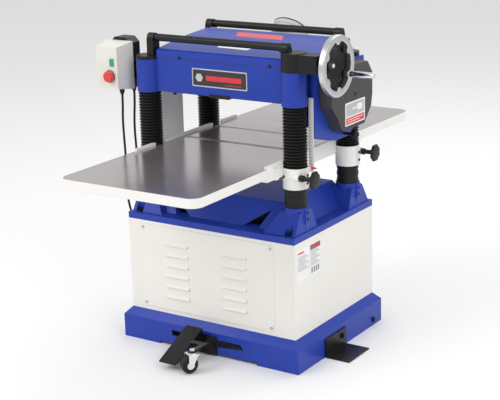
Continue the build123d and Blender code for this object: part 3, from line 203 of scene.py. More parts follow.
# the wear value in each finish sets a painted highlight along its edges, not real wear
finishes = {
    "bluePaint": dict(colour=(0.014, 0.045, 0.36), rough=0.38, bump=0.05, fine=420, edge=0.0022,
                      edgeSheen=0.30, gloss=0.30),
    "blueSheet": dict(colour=(0.014, 0.045, 0.36), rough=0.32, bump=0.02, fine=300, edge=0.0015,
                      edgeSheen=0.25, gloss=0.32),
    "paleSheet": dict(colour=(0.88, 0.88, 0.86), rough=0.38, bump=0.02, fine=300, edge=0.0012, edgeSheen=0.3,
                      cloud=0.015),
    "creamPaint": dict(colour=(0.80, 0.78, 0.73), rough=0.34, bump=0.02, fine=300, edge=0.0015, edgeSheen=0.3,
                       coat=0.2, cloud=0.015),
    "blackPaint": dict(colour=(0.006, 0.006, 0.0065), rough=0.32, bump=0.04, fine=500, edge=0.001,
                       edgeSheen=0.5, gloss=0.32),
    "blackPlastic": dict(colour=(0.007, 0.007, 0.0075), rough=0.40, bump=0.04, fine=700, edge=0.001,
                         edgeSheen=0.4, gloss=0.3),
    "rubber": dict(colour=(0.006, 0.006, 0.006), rough=0.50, bump=0.06, fine=600, edge=0.0008, edgeSheen=0.4,
                   gloss=0.35),
    "greyCover": dict(colour=(0.036, 0.034, 0.036), rough=0.48, bump=0.08, fine=900, edge=0.0015, edgeSheen=0.5),
    "greySheet": dict(colour=(0.56, 0.56, 0.55), rough=0.38, bump=0.02, fine=300, edge=0.0012, edgeSheen=0.3),
    "steel": dict(colour=(0.50, 0.50, 0.51), rough=0.28, metal=1.0, bump=0.02, fine=500, edge=0.0006,
                  edgeSheen=0.4, lines=(20.0, 900.0, 900.0)),
    "chrome": dict(colour=(0.80, 0.80, 0.82), rough=0.10, metal=1.0, bump=0.01, fine=200, edge=0.001,
                   edgeSheen=0.2),
    "polishedRim": dict(colour=(0.58, 0.585, 0.60), rough=0.30, metal=1.0, bump=0.02, fine=300,
                        edge=0.001, edgeSheen=0.2),
    "creamPlastic": dict(colour=(0.74, 0.72, 0.66), rough=0.40, bump=0.03, fine=700, edge=0.0012, edgeSheen=0.2),
    "greenPlastic": dict(colour=(0.0, 0.33, 0.20), rough=0.25, bump=0.02, fine=500, edge=0.001, edgeSheen=0.4,
                         coat=0.4),
    "redPlastic": dict(colour=(0.72, 0.03, 0.03), rough=0.25, bump=0.02, fine=500, edge=0.001, edgeSheen=0.4,
                       coat=0.4),
    "plateBlack": dict(colour=(0.013, 0.013, 0.014), rough=0.28, bump=0.01, fine=300, edge=0.0006,
                       edgeSheen=0.2, coat=0.3),
    "printWhite": dict(colour=(0.85, 0.85, 0.84), rough=0.35, bump=0.01, fine=300, edge=0.0003, edgeSheen=0.1,
                       coat=0.3),
    "printRed": dict(colour=(0.68, 0.02, 0.03), rough=0.35, bump=0.01, fine=300, edge=0.0003, edgeSheen=0.1,
                     coat=0.3),
    "printGrey": dict(colour=(0.25, 0.25, 0.26), rough=0.4, bump=0.01, fine=300, edge=0.0003, edgeSheen=0.1),
    "silver": dict(colour=(0.60, 0.60, 0.62), rough=0.3, metal=1.0, bump=0.01, fine=300, edge=0.0004,
                   edgeSheen=0.2),
}
# what all finishes share: noise scale and ranges, how much the painted highlight lightens edges, bump depth
# in metres
finishCommon = dict(broad=7.0, clouds=(0.3, 0.7), grain=(0.25, 0.75), spread=(0.8, 1.25), lighter=0.6,
                    sheenGain=1.25, sheenLift=0.03, reliefGain=4, reliefDepth=0.0004, coatRough=0.15)


# paint or metal: clouds vary the colour, grain gives bump and roughness, and edges are rounded and lightened
# as a painted highlight
def makeFinish(name, colour, rough, bump, fine, edge, edgeSheen, metal=0.0, coat=0.0, lines=None, cloud=0.06,
               gloss=0.5):
    material = bpy.data.materials.new(name)
    material.use_nodes = True
    tree = material.node_tree
    shader = tree.nodes["Principled BSDF"]
    common = finishCommon
    mottle = useGroup(tree, "mottle", Broad=common["broad"], Fine=float(fine))
    edges = useGroup(tree, "edges", Radius=edge)
    darker = tuple(c * (1 - cloud) for c in colour)
    lighter = tuple(min(1.0, c * (1 + cloud * common["lighter"])) for c in colour)
    # painted highlight: a lighter copy of the colour that the edges are mixed towards
    sheen = tuple(min(1.0, c * common["sheenGain"] + common["sheenLift"]) for c in colour)
    base = mixColour(tree, mapRange(tree, mottle["Clouds"], *common["clouds"], 0.0, 1.0), darker, lighter)
    # how much of the painted edge highlight each point gets, from the edge mask
    share = mathNode(tree, "MULTIPLY", edges["Mask"], edgeSheen, clamp=True)
    link(tree, (mixColour(tree, share, base, sheen), shader.inputs["Base Color"]))
    height = mottle["Grain"]
    if lines:
        height = useGroup(tree, "brushing", Across=lines)["Lines"]
    smooth, dull = (rough * gain for gain in common["spread"])
    link(tree, (mapRange(tree, height, *common["grain"], smooth, dull), shader.inputs["Roughness"]))
    relief = tree.nodes.new("ShaderNodeBump")
    relief.inputs["Strength"].default_value = bump * common["reliefGain"]
    relief.inputs["Distance"].default_value = common["reliefDepth"]
    link(tree, (height, relief.inputs["Height"]), (edges["Normal"], relief.inputs["Normal"]),
         (relief.outputs["Normal"], shader.inputs["Normal"]))
    shader.inputs["Metallic"].default_value = metal
    shader.inputs["Specular IOR Level"].default_value = gloss
    shader.inputs["Coat Weight"].default_value = coat
    shader.inputs["Coat Roughness"].default_value = common["coatRough"]
    return material


looks = {name: makeFinish(name, **values) for name, values in finishes.items()}
# heights, edge and relief depth in metres; the iron shows between level and top
bedFinish = dict(iron=(0.50, 0.455, 0.46), stain=(0.45, 0.41, 0.415), paint=(0.82, 0.81, 0.78), level=0.684,
                 top=0.692, faceUp=(0.90, 0.97), broad=9.0, fine=350.0, across=(500.0, 3.0, 3.0),
                 edge=0.0015, metal=0.75, paintRough=0.42, bareRough=(0.13, 0.22), relief=0.03,
                 reliefDepth=0.0003)


# ground iron where the face looks up at bed level, white paint everywhere else
def makeBed(v):
    material = bpy.data.materials.new("groundBed")
    material.use_nodes = True
    tree = material.node_tree
    shader = tree.nodes["Principled BSDF"]
    where = tree.nodes.new("ShaderNodeTexCoord")
    facing = tree.nodes.new("ShaderNodeSeparateXYZ")
    height = tree.nodes.new("ShaderNodeSeparateXYZ")
    link(tree, (where.outputs["Normal"], facing.inputs[0]), (where.outputs["Object"], height.inputs[0]))
    up = mapRange(tree, facing.outputs["Z"], *v["faceUp"], 0.0, 1.0)
    above = mathNode(tree, "GREATER_THAN", height.outputs["Z"], v["level"])
    below = mathNode(tree, "LESS_THAN", height.outputs["Z"], v["top"])
    ground = mathNode(tree, "MULTIPLY", mathNode(tree, "MULTIPLY", up, above), below)
    mottle = useGroup(tree, "mottle", Broad=v["broad"], Fine=v["fine"])
    lines = useGroup(tree, "brushing", Across=v["across"])["Lines"]
    edges = useGroup(tree, "edges", Radius=v["edge"])
    clouds = mapRange(tree, mottle["Clouds"], *finishCommon["clouds"], 0.0, 1.0)
    iron = mixColour(tree, clouds, v["stain"], v["iron"])
    link(tree, (mixColour(tree, ground, v["paint"], iron), shader.inputs["Base Color"]),
         (mathNode(tree, "MULTIPLY", ground, v["metal"]), shader.inputs["Metallic"]))
    bare = mapRange(tree, lines, *finishCommon["grain"], *v["bareRough"])
    roughMix = tree.nodes.new("ShaderNodeMix")
    roughMix.inputs[2].default_value = v["paintRough"]
    link(tree, (ground, roughMix.inputs[0]), (bare, roughMix.inputs[3]),
         (roughMix.outputs[0], shader.inputs["Roughness"]))
    relief = tree.nodes.new("ShaderNodeBump")
    relief.inputs["Strength"].default_value = v["relief"]
    relief.inputs["Distance"].default_value = v["reliefDepth"]
    link(tree, (lines, relief.inputs["Height"]), (edges["Normal"], relief.inputs["Normal"]),
         (relief.outputs["Normal"], shader.inputs["Normal"]))
    return material


looks["groundBed"] = makeBed(bedFinish)
print("finishes made:", len(looks))

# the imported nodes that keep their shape, by the finish each gets
nodeLooks = {
    "bluePaint": ["base_casting", "head_casting", "gearbox_housing"],
    "blueSheet": ["plinth", "top_cover"],
    "creamPaint": ["cabinet", "access_panel"],
    "groundBed": ["main_table", "infeed_extension", "outfeed_extension"],
    "blackPaint": ["machine_bolts", "floor_brackets", "table_bolts", "roller_brackets", "pedal"],
    "blackPlastic": ["column_caps", "switch_housing", "cable_glands", "shift_knob", "caster_wheel",
                     "rear_wheel_left", "rear_wheel_right", "return_roller_front", "return_roller_rear"],
    "rubber": ["drive_belts", "outfeed_roller"],
    "greyCover": ["gear_cover"],
    "greySheet": ["dust_hood", "motor"],
    "paleSheet": ["belt_guard"],
    "steel": ["columns", "lead_nuts", "lead_screw_front_left", "lead_screw_rear_left",
              "lead_screw_front_right", "lead_screw_rear_right", "bed_roller_front", "bed_roller_rear",
              "cutterhead", "cutter_knives", "infeed_roller", "feed_gear", "anti_kickback_fingers",
              "pressure_bars", "motor_pulley", "drive_chains"],
    "chrome": ["handwheel_grip", "caster_fork"],
    "creamPlastic": ["switch_lid"],
    "greenPlastic": ["start_button"],
    "redPlastic": ["stop_button", "scale_pointer"],
}
for look, names in nodeLooks.items():
    for name in names:
        slots = nodes[name].data.materials
        slots.clear()
        slots.append(looks[look])
print("packed nodes painted")

# turned, carried, boxed, plated and the panels each give (points, faces) in millimetres


# quads between neighbouring rows and columns of a grid of points, wrapped where asked
def gridFaces(rows, columns, wrapRows=True, wrapColumns=True):
    i, j = np.meshgrid(np.arange(rows if wrapRows else rows - 1),
                       np.arange(columns if wrapColumns else columns - 1), indexing="ij")
    nextI, nextJ = (i + 1) % rows, (j + 1) % columns
    quads = [i * columns + j, nextI * columns + j, nextI * columns + nextJ, i * columns + nextJ]
    return np.stack(quads, -1).reshape(-1, 4)


axisFrames = {"x": ((0, 1, 0), (0, 0, 1), (1, 0, 0)), "y": ((0, 0, 1), (1, 0, 0), (0, 1, 0)),
              "z": ((1, 0, 0), (0, 1, 0), (0, 0, 1))}


# a closed profile (radius, height) turned about an axis; scale(angle) may pull the radius in, as flutes do
def turned(profile, axis, centre, segments=48, scale=None):
    profile = np.asarray(profile, float)
    u, v, w = (np.array(a, float) for a in axisFrames[axis])
    angle = np.linspace(0, 2 * math.pi, segments, endpoint=False)[:, None]
    radius = profile[None, :, 0] * (1.0 if scale is None else scale(angle))
    points = (radius[..., None] * (np.cos(angle)[..., None] * u + np.sin(angle)[..., None] * v)
              + profile[None, :, 1, None] * w + np.array(centre, float))
    return points.reshape(-1, 3), gridFaces(segments, len(profile)).tolist()


# an outline in the plane across the axis, carried straight from low to high and closed by two caps
def carried(outline, axis, low, high):
    outline = np.asarray(outline, float)
    count = len(outline)
    order = {"x": [2, 0, 1], "y": [0, 2, 1], "z": [0, 1, 2]}[axis]
    ends = np.concatenate([np.column_stack([outline, np.full(count, level)]) for level in (low, high)])
    faces = gridFaces(2, count, wrapRows=False).tolist()
    return ends[:, order], faces + [list(range(count)), list(range(count, 2 * count))[::-1]]


# a box, as a rectangle carried up
def boxed(x0, x1, y0, y1, z0, z1):
    return carried([(x0, y0), (x1, y0), (x1, y1), (x0, y1)], "z", z0, z1)


plateSunk = 0.3    # how far a plate reaches below the face that it lies on


# a thin plate on a sloping face: four corners pushed out along the face's own normal
def plated(corners, thick):
    corners = np.asarray(corners, float)
    normal = np.cross(corners[1] - corners[0], corners[3] - corners[0])
    normal /= np.linalg.norm(normal)
    return (np.concatenate([corners - normal * plateSunk, corners + normal * thick]),
            gridFaces(2, 4, wrapRows=False).tolist() + [[0, 1, 2, 3], [7, 6, 5, 4]])


# rounded rectangle outline: quarter circles at four corners
def roundedOutline(u0, u1, v0, v1, radius, steps=6):
    corner = np.linspace(0, math.pi / 2, steps)
    centres = [(u1 - radius, v1 - radius), (u0 + radius, v1 - radius), (u0 + radius, v0 + radius),
               (u1 - radius, v0 + radius)]
    return np.concatenate([np.column_stack([cu + radius * np.cos(corner + k * math.pi / 2),
                                            cv + radius * np.sin(corner + k * math.pi / 2)])
                           for k, (cu, cv) in enumerate(centres)])


# a rounded panel that faces along Y
def panelY(x0, x1, z0, z1, y0, y1, radius=2.0):
    return carried(roundedOutline(x0, x1, z0, z1, radius), "y", y0, y1)


# a rounded panel that faces along X
def panelX(y0, y1, z0, z1, x0, x1, radius=3.0):
    return carried(roundedOutline(y0, y1, z0, z1, radius), "x", x0, x1)


# joins the parts, closes poles, turns faces outwards, shades by angle and rides on a body
def addPiece(name, parts, body, look, bevel=0.0, replaced=(), smoothAngle=35.0):
    points, faces, start = [], [], 0
    for partPoints, partFaces in parts:
        points.append(partPoints)
        faces += [[start + k for k in face] for face in partFaces]
        start += len(partPoints)
    mesh = bpy.data.meshes.new(name)
    mesh.from_pydata(((np.concatenate(points) - frameShift) / 1000).tolist(), [], faces)
    shape = bmesh.new()
    shape.from_mesh(mesh)
    bmesh.ops.remove_doubles(shape, verts=shape.verts, dist=1e-6)
    bmesh.ops.recalc_face_normals(shape, faces=shape.faces)
    for edge in shape.edges:
        edge.smooth = len(edge.link_faces) == 2 and edge.calc_face_angle(0) < math.radians(smoothAngle)
    for face in shape.faces:
        face.smooth = True
    shape.to_mesh(mesh)
    shape.free()
    obj = bpy.data.objects.new(name, mesh)
    scene.collection.objects.link(obj)
    mesh.materials.append(looks[look])
    if bevel:
        rounding = obj.modifiers.new("roundedEdges", "BEVEL")
        rounding.width = bevel / 1000
        rounding.segments = 2
        rounding.limit_method = "ANGLE"
        rounding.angle_limit = math.radians(smoothAngle)
    if body:
        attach(obj, body)
    if replaced:
        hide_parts(*replaced)
    return obj


cords = {
    "motorLead": dict(node="motor_lead", length=0.555, points=[
        (-386, -205, 858), (-386, -205, 820), (-389, -206, 770), (-386, -208, 716), (-381, -211, 660),
        (-379, -213, 602), (-380, -213, 544), (-381, -211, 496), (-378, -206, 454), (-374, -195, 416),
        (-370, -179, 382), (-367, -166, 354), (-366, -160, 330), (-366, -160, 308)]),
    "supplyLead": dict(node="supply_lead", length=0.551, points=[
        (-386, -138, 858), (-386, -138, 820), (-391, -138, 770), (-392, -139, 716), (-388, -140, 660),
        (-386, -141, 602), (-388, -141, 544), (-389, -140, 496), (-386, -138, 454), (-381, -135, 416),
        (-375, -131, 382), (-369, -127, 354), (-366, -125, 330), (-366, -125, 308)]),
}
cordDiameter = 0.008    # metres


# a NURBS line on the route's control points, with a round section
def addCord(name, node, length, points):
    route = (np.array(points, float) - frameShift) / 1000
    line = bpy.data.curves.new(name, "CURVE")
    line.dimensions = "3D"
    line.bevel_depth = cordDiameter / 2
    line.bevel_resolution = 4
    line.resolution_u = 10
    spline = line.splines.new("NURBS")
    spline.points.add(len(route) - 1)
    spline.points.foreach_set("co", np.column_stack([route, np.ones(len(route))]).ravel())
    spline.order_u = 3
    spline.use_endpoint_u = True
    obj = bpy.data.objects.new(name, line)
    scene.collection.objects.link(obj)
    line.materials.append(looks["rubber"])
    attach(obj, "frame")
    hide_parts(node)
    return obj


for cordName, values in cords.items():
    addCord(cordName, **values)
print("cords laid")

# keep is the bellows' length with the table at its highest over its length at rest
bellows = dict(z0=673.0, z1=874.0, outer=40.0, inner=32.5, bore=26.0, pleats=19, lip=4.0, lipShare=0.6,
               pleatPower=0.8, perPleat=8, keep=23.0 / 201.0)


# radius swings between the inner and outer size once per pleat, with the bore closing the sleeve
def addBellows(v):
    z = np.linspace(v["z0"] + v["lip"], v["z1"] - v["lip"], v["pleats"] * v["perPleat"] + 1)
    swing = 0.5 - 0.5 * np.cos(2 * math.pi * v["pleats"] * (z - z[0]) / (z[-1] - z[0]))
    radius = v["inner"] + (v["outer"] - v["inner"]) * swing ** v["pleatPower"]
    lip = v["lip"] * v["lipShare"]
    foot = [(v["bore"], v["z0"]), (v["outer"], v["z0"]), (v["outer"], v["z0"] + lip)]
    head = [(v["outer"], v["z1"] - lip), (v["outer"], v["z1"]), (v["bore"], v["z1"])]
    profile = np.concatenate([foot, np.column_stack([radius, z]), head])
    parts = [turned(profile, "z", (x, y, 0), 40) for x, y in columnAt]
    obj = addPiece("columnBellows", parts, "frame", "rubber", replaced=["upper_bellows"],
                   smoothAngle=60)
    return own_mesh(obj)


addBellows(bellows)
boots = dict(z0=541.0, z1=603.0, bore=26.0, steps=[38.0, 36.4, 38.0, 36.4, 38.0], round=0.6)


# a short black sleeve with shallow steps on each column, between the base and the table
def addBoots(v):
    levels = np.linspace(v["z0"], v["z1"], len(v["steps"]) + 1)
    rows = [(r, z + dz) for r, low, high in zip(v["steps"], levels, levels[1:])
            for z, dz in ((low, v["round"]), (0.5 * (low + high), 0), (high, -v["round"]))]
    profile = [(v["bore"], v["z0"]), (v["steps"][0], v["z0"]), *rows, (v["steps"][-1], v["z1"]),
               (v["bore"], v["z1"])]
    parts = [turned(profile, "z", (x, y, 0), 40) for x, y in columnAt]
    obj = addPiece("columnBoots", parts, "", "rubber", replaced=["lower_boots"])
    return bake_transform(obj)


addBoots(boots)
print("bellows and boots made")

# web, shaft and nut are profiles (radius, x) turned about the shaft
wheel = dict(y=-173.0, z=1014.0, x0=435.0, x1=456.0, outer=98.0, inner=78.0, lobe=13.0, lobes=6,
             firstLobe=-28.0, lobeShare=0.9, around=240, corner=0.18,
             web=[(0, 396), (17, 396), (24, 402), (55, 421), (86, 430), (86, 435), (80, 436), (52, 427),
                  (24, 409), (17, 411), (17, 425), (15, 427), (0, 427)],
             shaft=[(0, 304), (11, 304), (11, 400), (0, 400)],
             nut=[(0, 427), (9, 427), (9, 434), (7.5, 436), (0, 436)])


# each section is a rounded box between the inner and outer radius; the inner radius dips at the lobes
def addRim(v):
    angle = np.linspace(0, 2 * math.pi, v["around"], endpoint=False)
    pitch = 2 * math.pi / v["lobes"]
    off = (angle - math.radians(v["firstLobe"]) + math.pi / v["lobes"]) % pitch - math.pi / v["lobes"]
    side = np.clip(off * v["inner"] / v["lobe"], -1, 1)
    inner = v["inner"] - v["lobe"] * np.sqrt(1 - side ** 2) * v["lobeShare"]
    section = roundedOutline(0, 1, 0, 1, v["corner"], 5)
    depth = v["x0"] + (v["x1"] - v["x0"]) * section[:, 1]
    radius = inner[:, None] + (v["outer"] - inner[:, None]) * section[None, :, 0]
    points = np.stack([np.broadcast_to(depth, radius.shape), v["y"] + radius * np.cos(angle)[:, None],
                       v["z"] + radius * np.sin(angle)[:, None]], -1)
    return points.reshape(-1, 3), gridFaces(len(angle), len(section)).tolist()


wheelAxis = (0, wheel["y"], wheel["z"])
addPiece("handwheelRim", [addRim(wheel)], "handwheel_body", "polishedRim",
         replaced=["handwheel"])
addPiece("handwheelWeb",
         [turned(wheel["web"], "x", wheelAxis, 64), turned(wheel["shaft"], "x", wheelAxis, 32)],
         "handwheel_body", "blackPaint")
addPiece("handwheelNut", [turned(wheel["nut"], "x", wheelAxis, 6)], "handwheel_body", "chrome")
print("handwheel made")

# the stud is a profile (radius, x); the crown's rows are (share of the radius, x)
knob = dict(radius=30.5, flutes=8, depth=0.085, z=645.0, y=205.0,
            crown=[(0, 374), (0.72, 374), (0.96, 376.5), (1, 380), (0.95, 384), (0.72, 386), (0, 386)],
            stud=[(0, 262), (6, 262), (6, 328), (11, 328), (11, 340), (9, 342), (7.5, 343), (7.5, 374),
                  (0, 374)])


# a domed head whose radius dips at each flute, on a stepped stud
def addKnob(name, node, side, v):
    def flute(angle):
        return 1 - v["depth"] * (0.5 + 0.5 * np.cos(v["flutes"] * angle)) ** 2

    centre = (0, side * v["y"], v["z"])
    crown = [(v["radius"] * share, x) for share, x in v["crown"]]
    return addPiece(name, [turned(crown, "x", centre, 96, flute), turned(v["stud"], "x", centre, 32)],
                    node + "_body", "blackPlastic", replaced=[node])


addKnob("lockKnobFront", "lock_knob_front", -1, knob)
addKnob("lockKnobRear", "lock_knob_rear", 1, knob)
print("lock knobs made")

# the plate on the front beam: a silver edge, a black face, a plain hexagon and two red bars
plate = dict(x0=-101.0, x1=118.0, z0=907.0, z1=968.0, border=4.0, edgeY=(-184.4, -183.0),
             faceY=(-185, -184.2), emblem=(-72, 937.5), emblemRadius=15, emblemY=(-185.4, -185),
             barY=(-185.3, -185), bars=[(-44, 96, 929, 946), (30, 96, 918, 920)])
addPiece("namePlateEdge", [panelY(plate["x0"], plate["x1"], plate["z0"], plate["z1"], *plate["edgeY"], 4)],
         "frame", "silver", replaced=["head_plates"])
border = plate["border"]
addPiece("namePlateFace", [panelY(plate["x0"] + border, plate["x1"] - border, plate["z0"] + border,
                                  plate["z1"] - border, *plate["faceY"], 3)],
         "frame", "plateBlack")
hexagon = [(plate["emblem"][0] + plate["emblemRadius"] * math.cos(a),
            plate["emblem"][1] + plate["emblemRadius"] * math.sin(a)) for a in np.arange(6) * math.pi / 3]
addPiece("namePlateMark", [carried(hexagon, "y", *plate["emblemY"])], "frame", "silver")
addPiece("namePlateBar", [boxed(x0, x1, *plate["barY"], z0, z1) for x0, x1, z0, z1 in plate["bars"]],
         "frame", "printRed")

# the height scale: a white strip with long and short marks by turns
ruler = dict(x0=323.0, x1=341.0, y0=-142.0, y1=-140.0, z0=652.0, z1=897.0, step=5.0, margins=(8, 4),
             marksY=(-142.25, -141.9), longMark=12, shortMark=7, markHeight=0.9)
addPiece("heightScale", [boxed(*(ruler[key] for key in ("x0", "x1", "y0", "y1", "z0", "z1")))],
         "frame", "printWhite", bevel=0.4)
levels = np.arange(ruler["z0"] + ruler["margins"][0], ruler["z1"] - ruler["margins"][1], ruler["step"])
ticks = [boxed(ruler["x0"] + 1, ruler["x0"] + (ruler["longMark"] if k % 2 == 0 else ruler["shortMark"]),
               *ruler["marksY"], z, z + ruler["markHeight"]) for k, z in enumerate(levels)]
addPiece("heightScaleMarks", ticks, "frame", "printGrey")

# labels on the sloping top cover: corners (x, y), their height above the slope, and thickness
coverSlope = [(-183, 1017), (-175, 1022), (-140, 1027), (-2, 1043), (118, 1051)]
coverLabels = {
    "coverLabelWhite": dict(corners=[(-57, -67), (-43, -115), (78, -120), (86, -84)], lift=0.0, thick=0.4,
                            look="printWhite", slotName="white_casting"),
    "coverLabelMarks": dict(corners=[(-48, -74), (-46, -86), (60, -95), (62, -88)], lift=0.4, thick=0.3,
                            look="printRed", slotName="red_plastic"),
    "coverLabelRed": dict(corners=[(-95, 88), (-63, 27), (128, 21), (95, 82)], lift=0.0, thick=0.4,
                          look="printRed", slotName="red_plastic"),
}


# a point on the cover, its height read from the slope's profile
def onCover(x, y, lift):
    return (x, y, float(np.interp(y, *zip(*coverSlope))) + lift)


for name, label in coverLabels.items():
    corners = [onCover(x, y, label["lift"]) for x, y in label["corners"]]
    addPiece(name, [plated(corners, label["thick"])], "frame", label["look"])

# the label on the gear cover: panels (y0, y1, z0, z1, x0, x1, corner radius) in four layers
gearLabels = {
    "gearLabel": dict(panels=[(-17, 117, 782, 859, 387.8, 388.5, 3)], look="printWhite",
                      slotName="white_casting"),
    "gearLabelPanel": dict(panels=[(-12, 112, 812, 854, 388.4, 388.7, 3)], look="silver",
                           slotName="polished_rim"),
    "gearLabelBand": dict(panels=[(-12, 112, 786, 808, 388.4, 388.7, 1.5)], look="printRed",
                          slotName="red_plastic"),
    "gearLabelShape": dict(panels=[(62, 98, 824, 846, 388.65, 388.85, 8),
                                   (30, 64, 832, 837, 388.65, 388.85, 1),
                                   (-4, 104, 800, 802, 388.65, 388.85, 0.6),
                                   (-4, 80, 792, 794, 388.65, 388.85, 0.6)],
                           look="printWhite", slotName="white_casting"),
}
for name, label in gearLabels.items():
    addPiece(name, [panelX(*panel) for panel in label["panels"]], "frame", label["look"])

# two plain cards side by side on the cabinet: a coloured head over rows of grey bars
cards = dict(left=(-248.0, -173.0), right=(-169.0, -98.0), z0=305.0, z1=412.0, cardX=(336.3, 337.0),
             printX=(336.9, 337.15), markX=(337.1, 337.3), row=6.6, rowHeight=2.2, rowInset=5,
             rowStagger=12, margins=(34, 26), blocks=(-160, -146, -132, -118), blockWide=9, blockZ=(311, 331),
             head=(-166, -101, 392, 409), marks=(-162, -147, -132, -117), markWide=11, markZ=(395, 406),
             redHead=(-243, -205, 396, 402))
for side in ("left", "right"):
    y0, y1 = cards[side]
    addPiece(side + "Card", [panelX(y0, y1, cards["z0"], cards["z1"], *cards["cardX"])],
             "frame", "printWhite")
rowLevels = np.arange(cards["z0"] + cards["margins"][0], cards["z1"] - cards["margins"][1], cards["row"])
inset = cards["rowInset"]
cardRows = [panelX(y0 + inset, y1 - inset - cards["rowStagger"] * (k % 3), z, z + cards["rowHeight"],
                   *cards["printX"], 0.6)
            for y0, y1 in (cards["left"], cards["right"]) for k, z in enumerate(rowLevels)]
blocks = [panelX(y, y + cards["blockWide"], *cards["blockZ"], *cards["printX"], 0.6)
          for y in cards["blocks"]]
addPiece("cardRows", cardRows + blocks, "frame", "printGrey")
addPiece("cardHeads", [panelX(*cards["head"], *cards["printX"], 1)], "frame", "plateBlack")
marks = [panelX(y, y + cards["markWide"], *cards["markZ"], *cards["markX"], 1) for y in cards["marks"]]
addPiece("cardMarks", marks + [panelX(*cards["redHead"], *cards["printX"], 1)],
         "frame", "printRed")
print("plates and labels made")

# screw heads are profiles (radius, distance along the axis), measured from each place
bandScrews = dict(places=[(-152.5, -183.0, 997.0), (205.0, -183.0, 996.0)],
                  head=[(0, 0), (5.5, 0), (5.5, -1.6), (4.2, -2.8), (0, -2.8)])
addPiece("bandScrews", [turned(bandScrews["head"], "y", place, 24) for place in bandScrews["places"]],
         "frame", "blackPaint")
coverScrew = dict(place=(0, 52, 880), head=[(0, 388), (5.5, 388), (5.5, 389.8), (4, 391), (0, 391)])
addPiece("coverScrew", [turned(coverScrew["head"], "x", coverScrew["place"], 24)],
         "frame", "blackPaint")
# a bright cap over each black screw head of the access panel
panelCaps = dict(front=-268.0, x=(-274.0, 246.0), z=(136.0, 412.0), radius=4.9, rise=3.1, round=(0.9, 0.8))
capTop = panelCaps["front"] - panelCaps["rise"]
capProfile = [(0, panelCaps["front"]), (panelCaps["radius"], panelCaps["front"]),
              (panelCaps["radius"], capTop + panelCaps["round"][1]),
              (panelCaps["radius"] - panelCaps["round"][0], capTop), (0, capTop)]
addPiece("panelScrewCaps",
         [turned(capProfile, "y", (x, 0, z), 24) for x in panelCaps["x"] for z in panelCaps["z"]],
         "frame", "steel")
# under and along the front beam: a stop block, a plug and a black strip painted as the shade in the cover's
# seam
beam = dict(block=(-33, 46, -187, -164, 872, 884), plugAt=(-181, -176, 0),
            plug=[(0, 869), (5, 869), (6, 871), (6, 878), (0, 878)],
            seamShade=(-246, 246, -183.35, -182, 991.0, 992.4))
addPiece("beamBlock", [boxed(*beam["block"])], "frame", "blackPlastic", bevel=1.5)
addPiece("beamPlug", [turned(beam["plug"], "z", beam["plugAt"], 24)],
         "frame", "blackPlastic")
# painted shade: a black strip standing in for the shadow in the seam's gap
addPiece("coverSeamShade", [boxed(*beam["seamShade"])], "frame", "plateBlack")
caster = dict(pivot=(42.0, -440.0), axleY=-453.0, axleZ=30.5, turn=-30.0, half=15.0, bore=5, step=11, rim=13,
              proud=(1, 2))


# points turned about the caster's upright pin: x' = x cos a - y sin a, y' = x sin a + y cos a
def swivelled(part, v):
    points, faces = part
    angle = math.radians(v["turn"])
    x, y = points[:, 0] - v["pivot"][0], points[:, 1] - v["pivot"][1]
    return np.column_stack([v["pivot"][0] + x * math.cos(angle) - y * math.sin(angle),
                            v["pivot"][1] + x * math.sin(angle) + y * math.cos(angle), points[:, 2]]), faces


# a ring on each side of the wheel: a closed section (radius, x) that steps outwards by side
def addHub(x, side, v):
    low, high = (x + rise * side for rise in v["proud"])
    section = [(v["bore"], x), (v["step"], x), (v["rim"], low), (v["rim"], high), (v["bore"], high)]
    return turned(section, "x", (0, v["axleY"], v["axleZ"]), 32)


hubs = [addHub(caster["pivot"][0] + side * caster["half"], side, caster) for side in (-1, 1)]
addPiece("casterHub", [swivelled(hub, caster) for hub in hubs], "caster_wheel_body", "chrome")
# the belt guard: a pressed rim, four screws and a row of vents low on its outer face
guard = dict(face=-400.0, y=52.0, z0=250.0, z1=924.0, rimRadius=26, rimWide=5, rimX=(0.5, -1.6), vents=9,
             ventPitch=15.0, ventZ=470.0, ventHalf=34, ventHeight=5, ventX=(-400.6, -399.5),
             screws=[(y, z) for y in (-62, 62) for z in (262, 912)],
             screwHead=[(0, -399), (6, -399), (6, -402), (4.5, -403.5), (0, -403.5)])
outline = roundedOutline(-guard["y"], guard["y"], guard["z0"], guard["z1"], guard["rimRadius"], 8)
wide = guard["rimWide"]
inside = roundedOutline(-guard["y"] + wide, guard["y"] - wide, guard["z0"] + wide, guard["z1"] - wide,
                        guard["rimRadius"] - wide, 8)


# a ring between two matching outlines, raised from the face by its height
def ringX(outer, inner, low, high):
    rows = [(outer, low), (outer, high), (inner, high), (inner, low)]
    points = np.stack([np.column_stack([np.full(len(row), x), row]) for row, x in rows], 1)
    return points.reshape(-1, 3), gridFaces(len(outer), 4).tolist()


addPiece("guardRim", [ringX(outline, inside, *(guard["face"] + rise for rise in guard["rimX"]))],
         "frame", "paleSheet")
ventLevels = [guard["ventZ"] + k * guard["ventPitch"] for k in range(guard["vents"])]
vents = [panelX(-guard["ventHalf"], guard["ventHalf"], z, z + guard["ventHeight"], *guard["ventX"], 2)
         for z in ventLevels]
addPiece("guardVents", vents, "frame", "blackPaint")
addPiece("guardScrews", [turned(guard["screwHead"], "x", (0, y, z), 24) for y, z in guard["screws"]],
         "frame", "steel")
port = dict(foot=(14.0, 216.0, 992.0), lean=42.0, length=74.0, radius=62.5, bead=2.4, inset=1, back=2.0,
            around=72, steps=12)


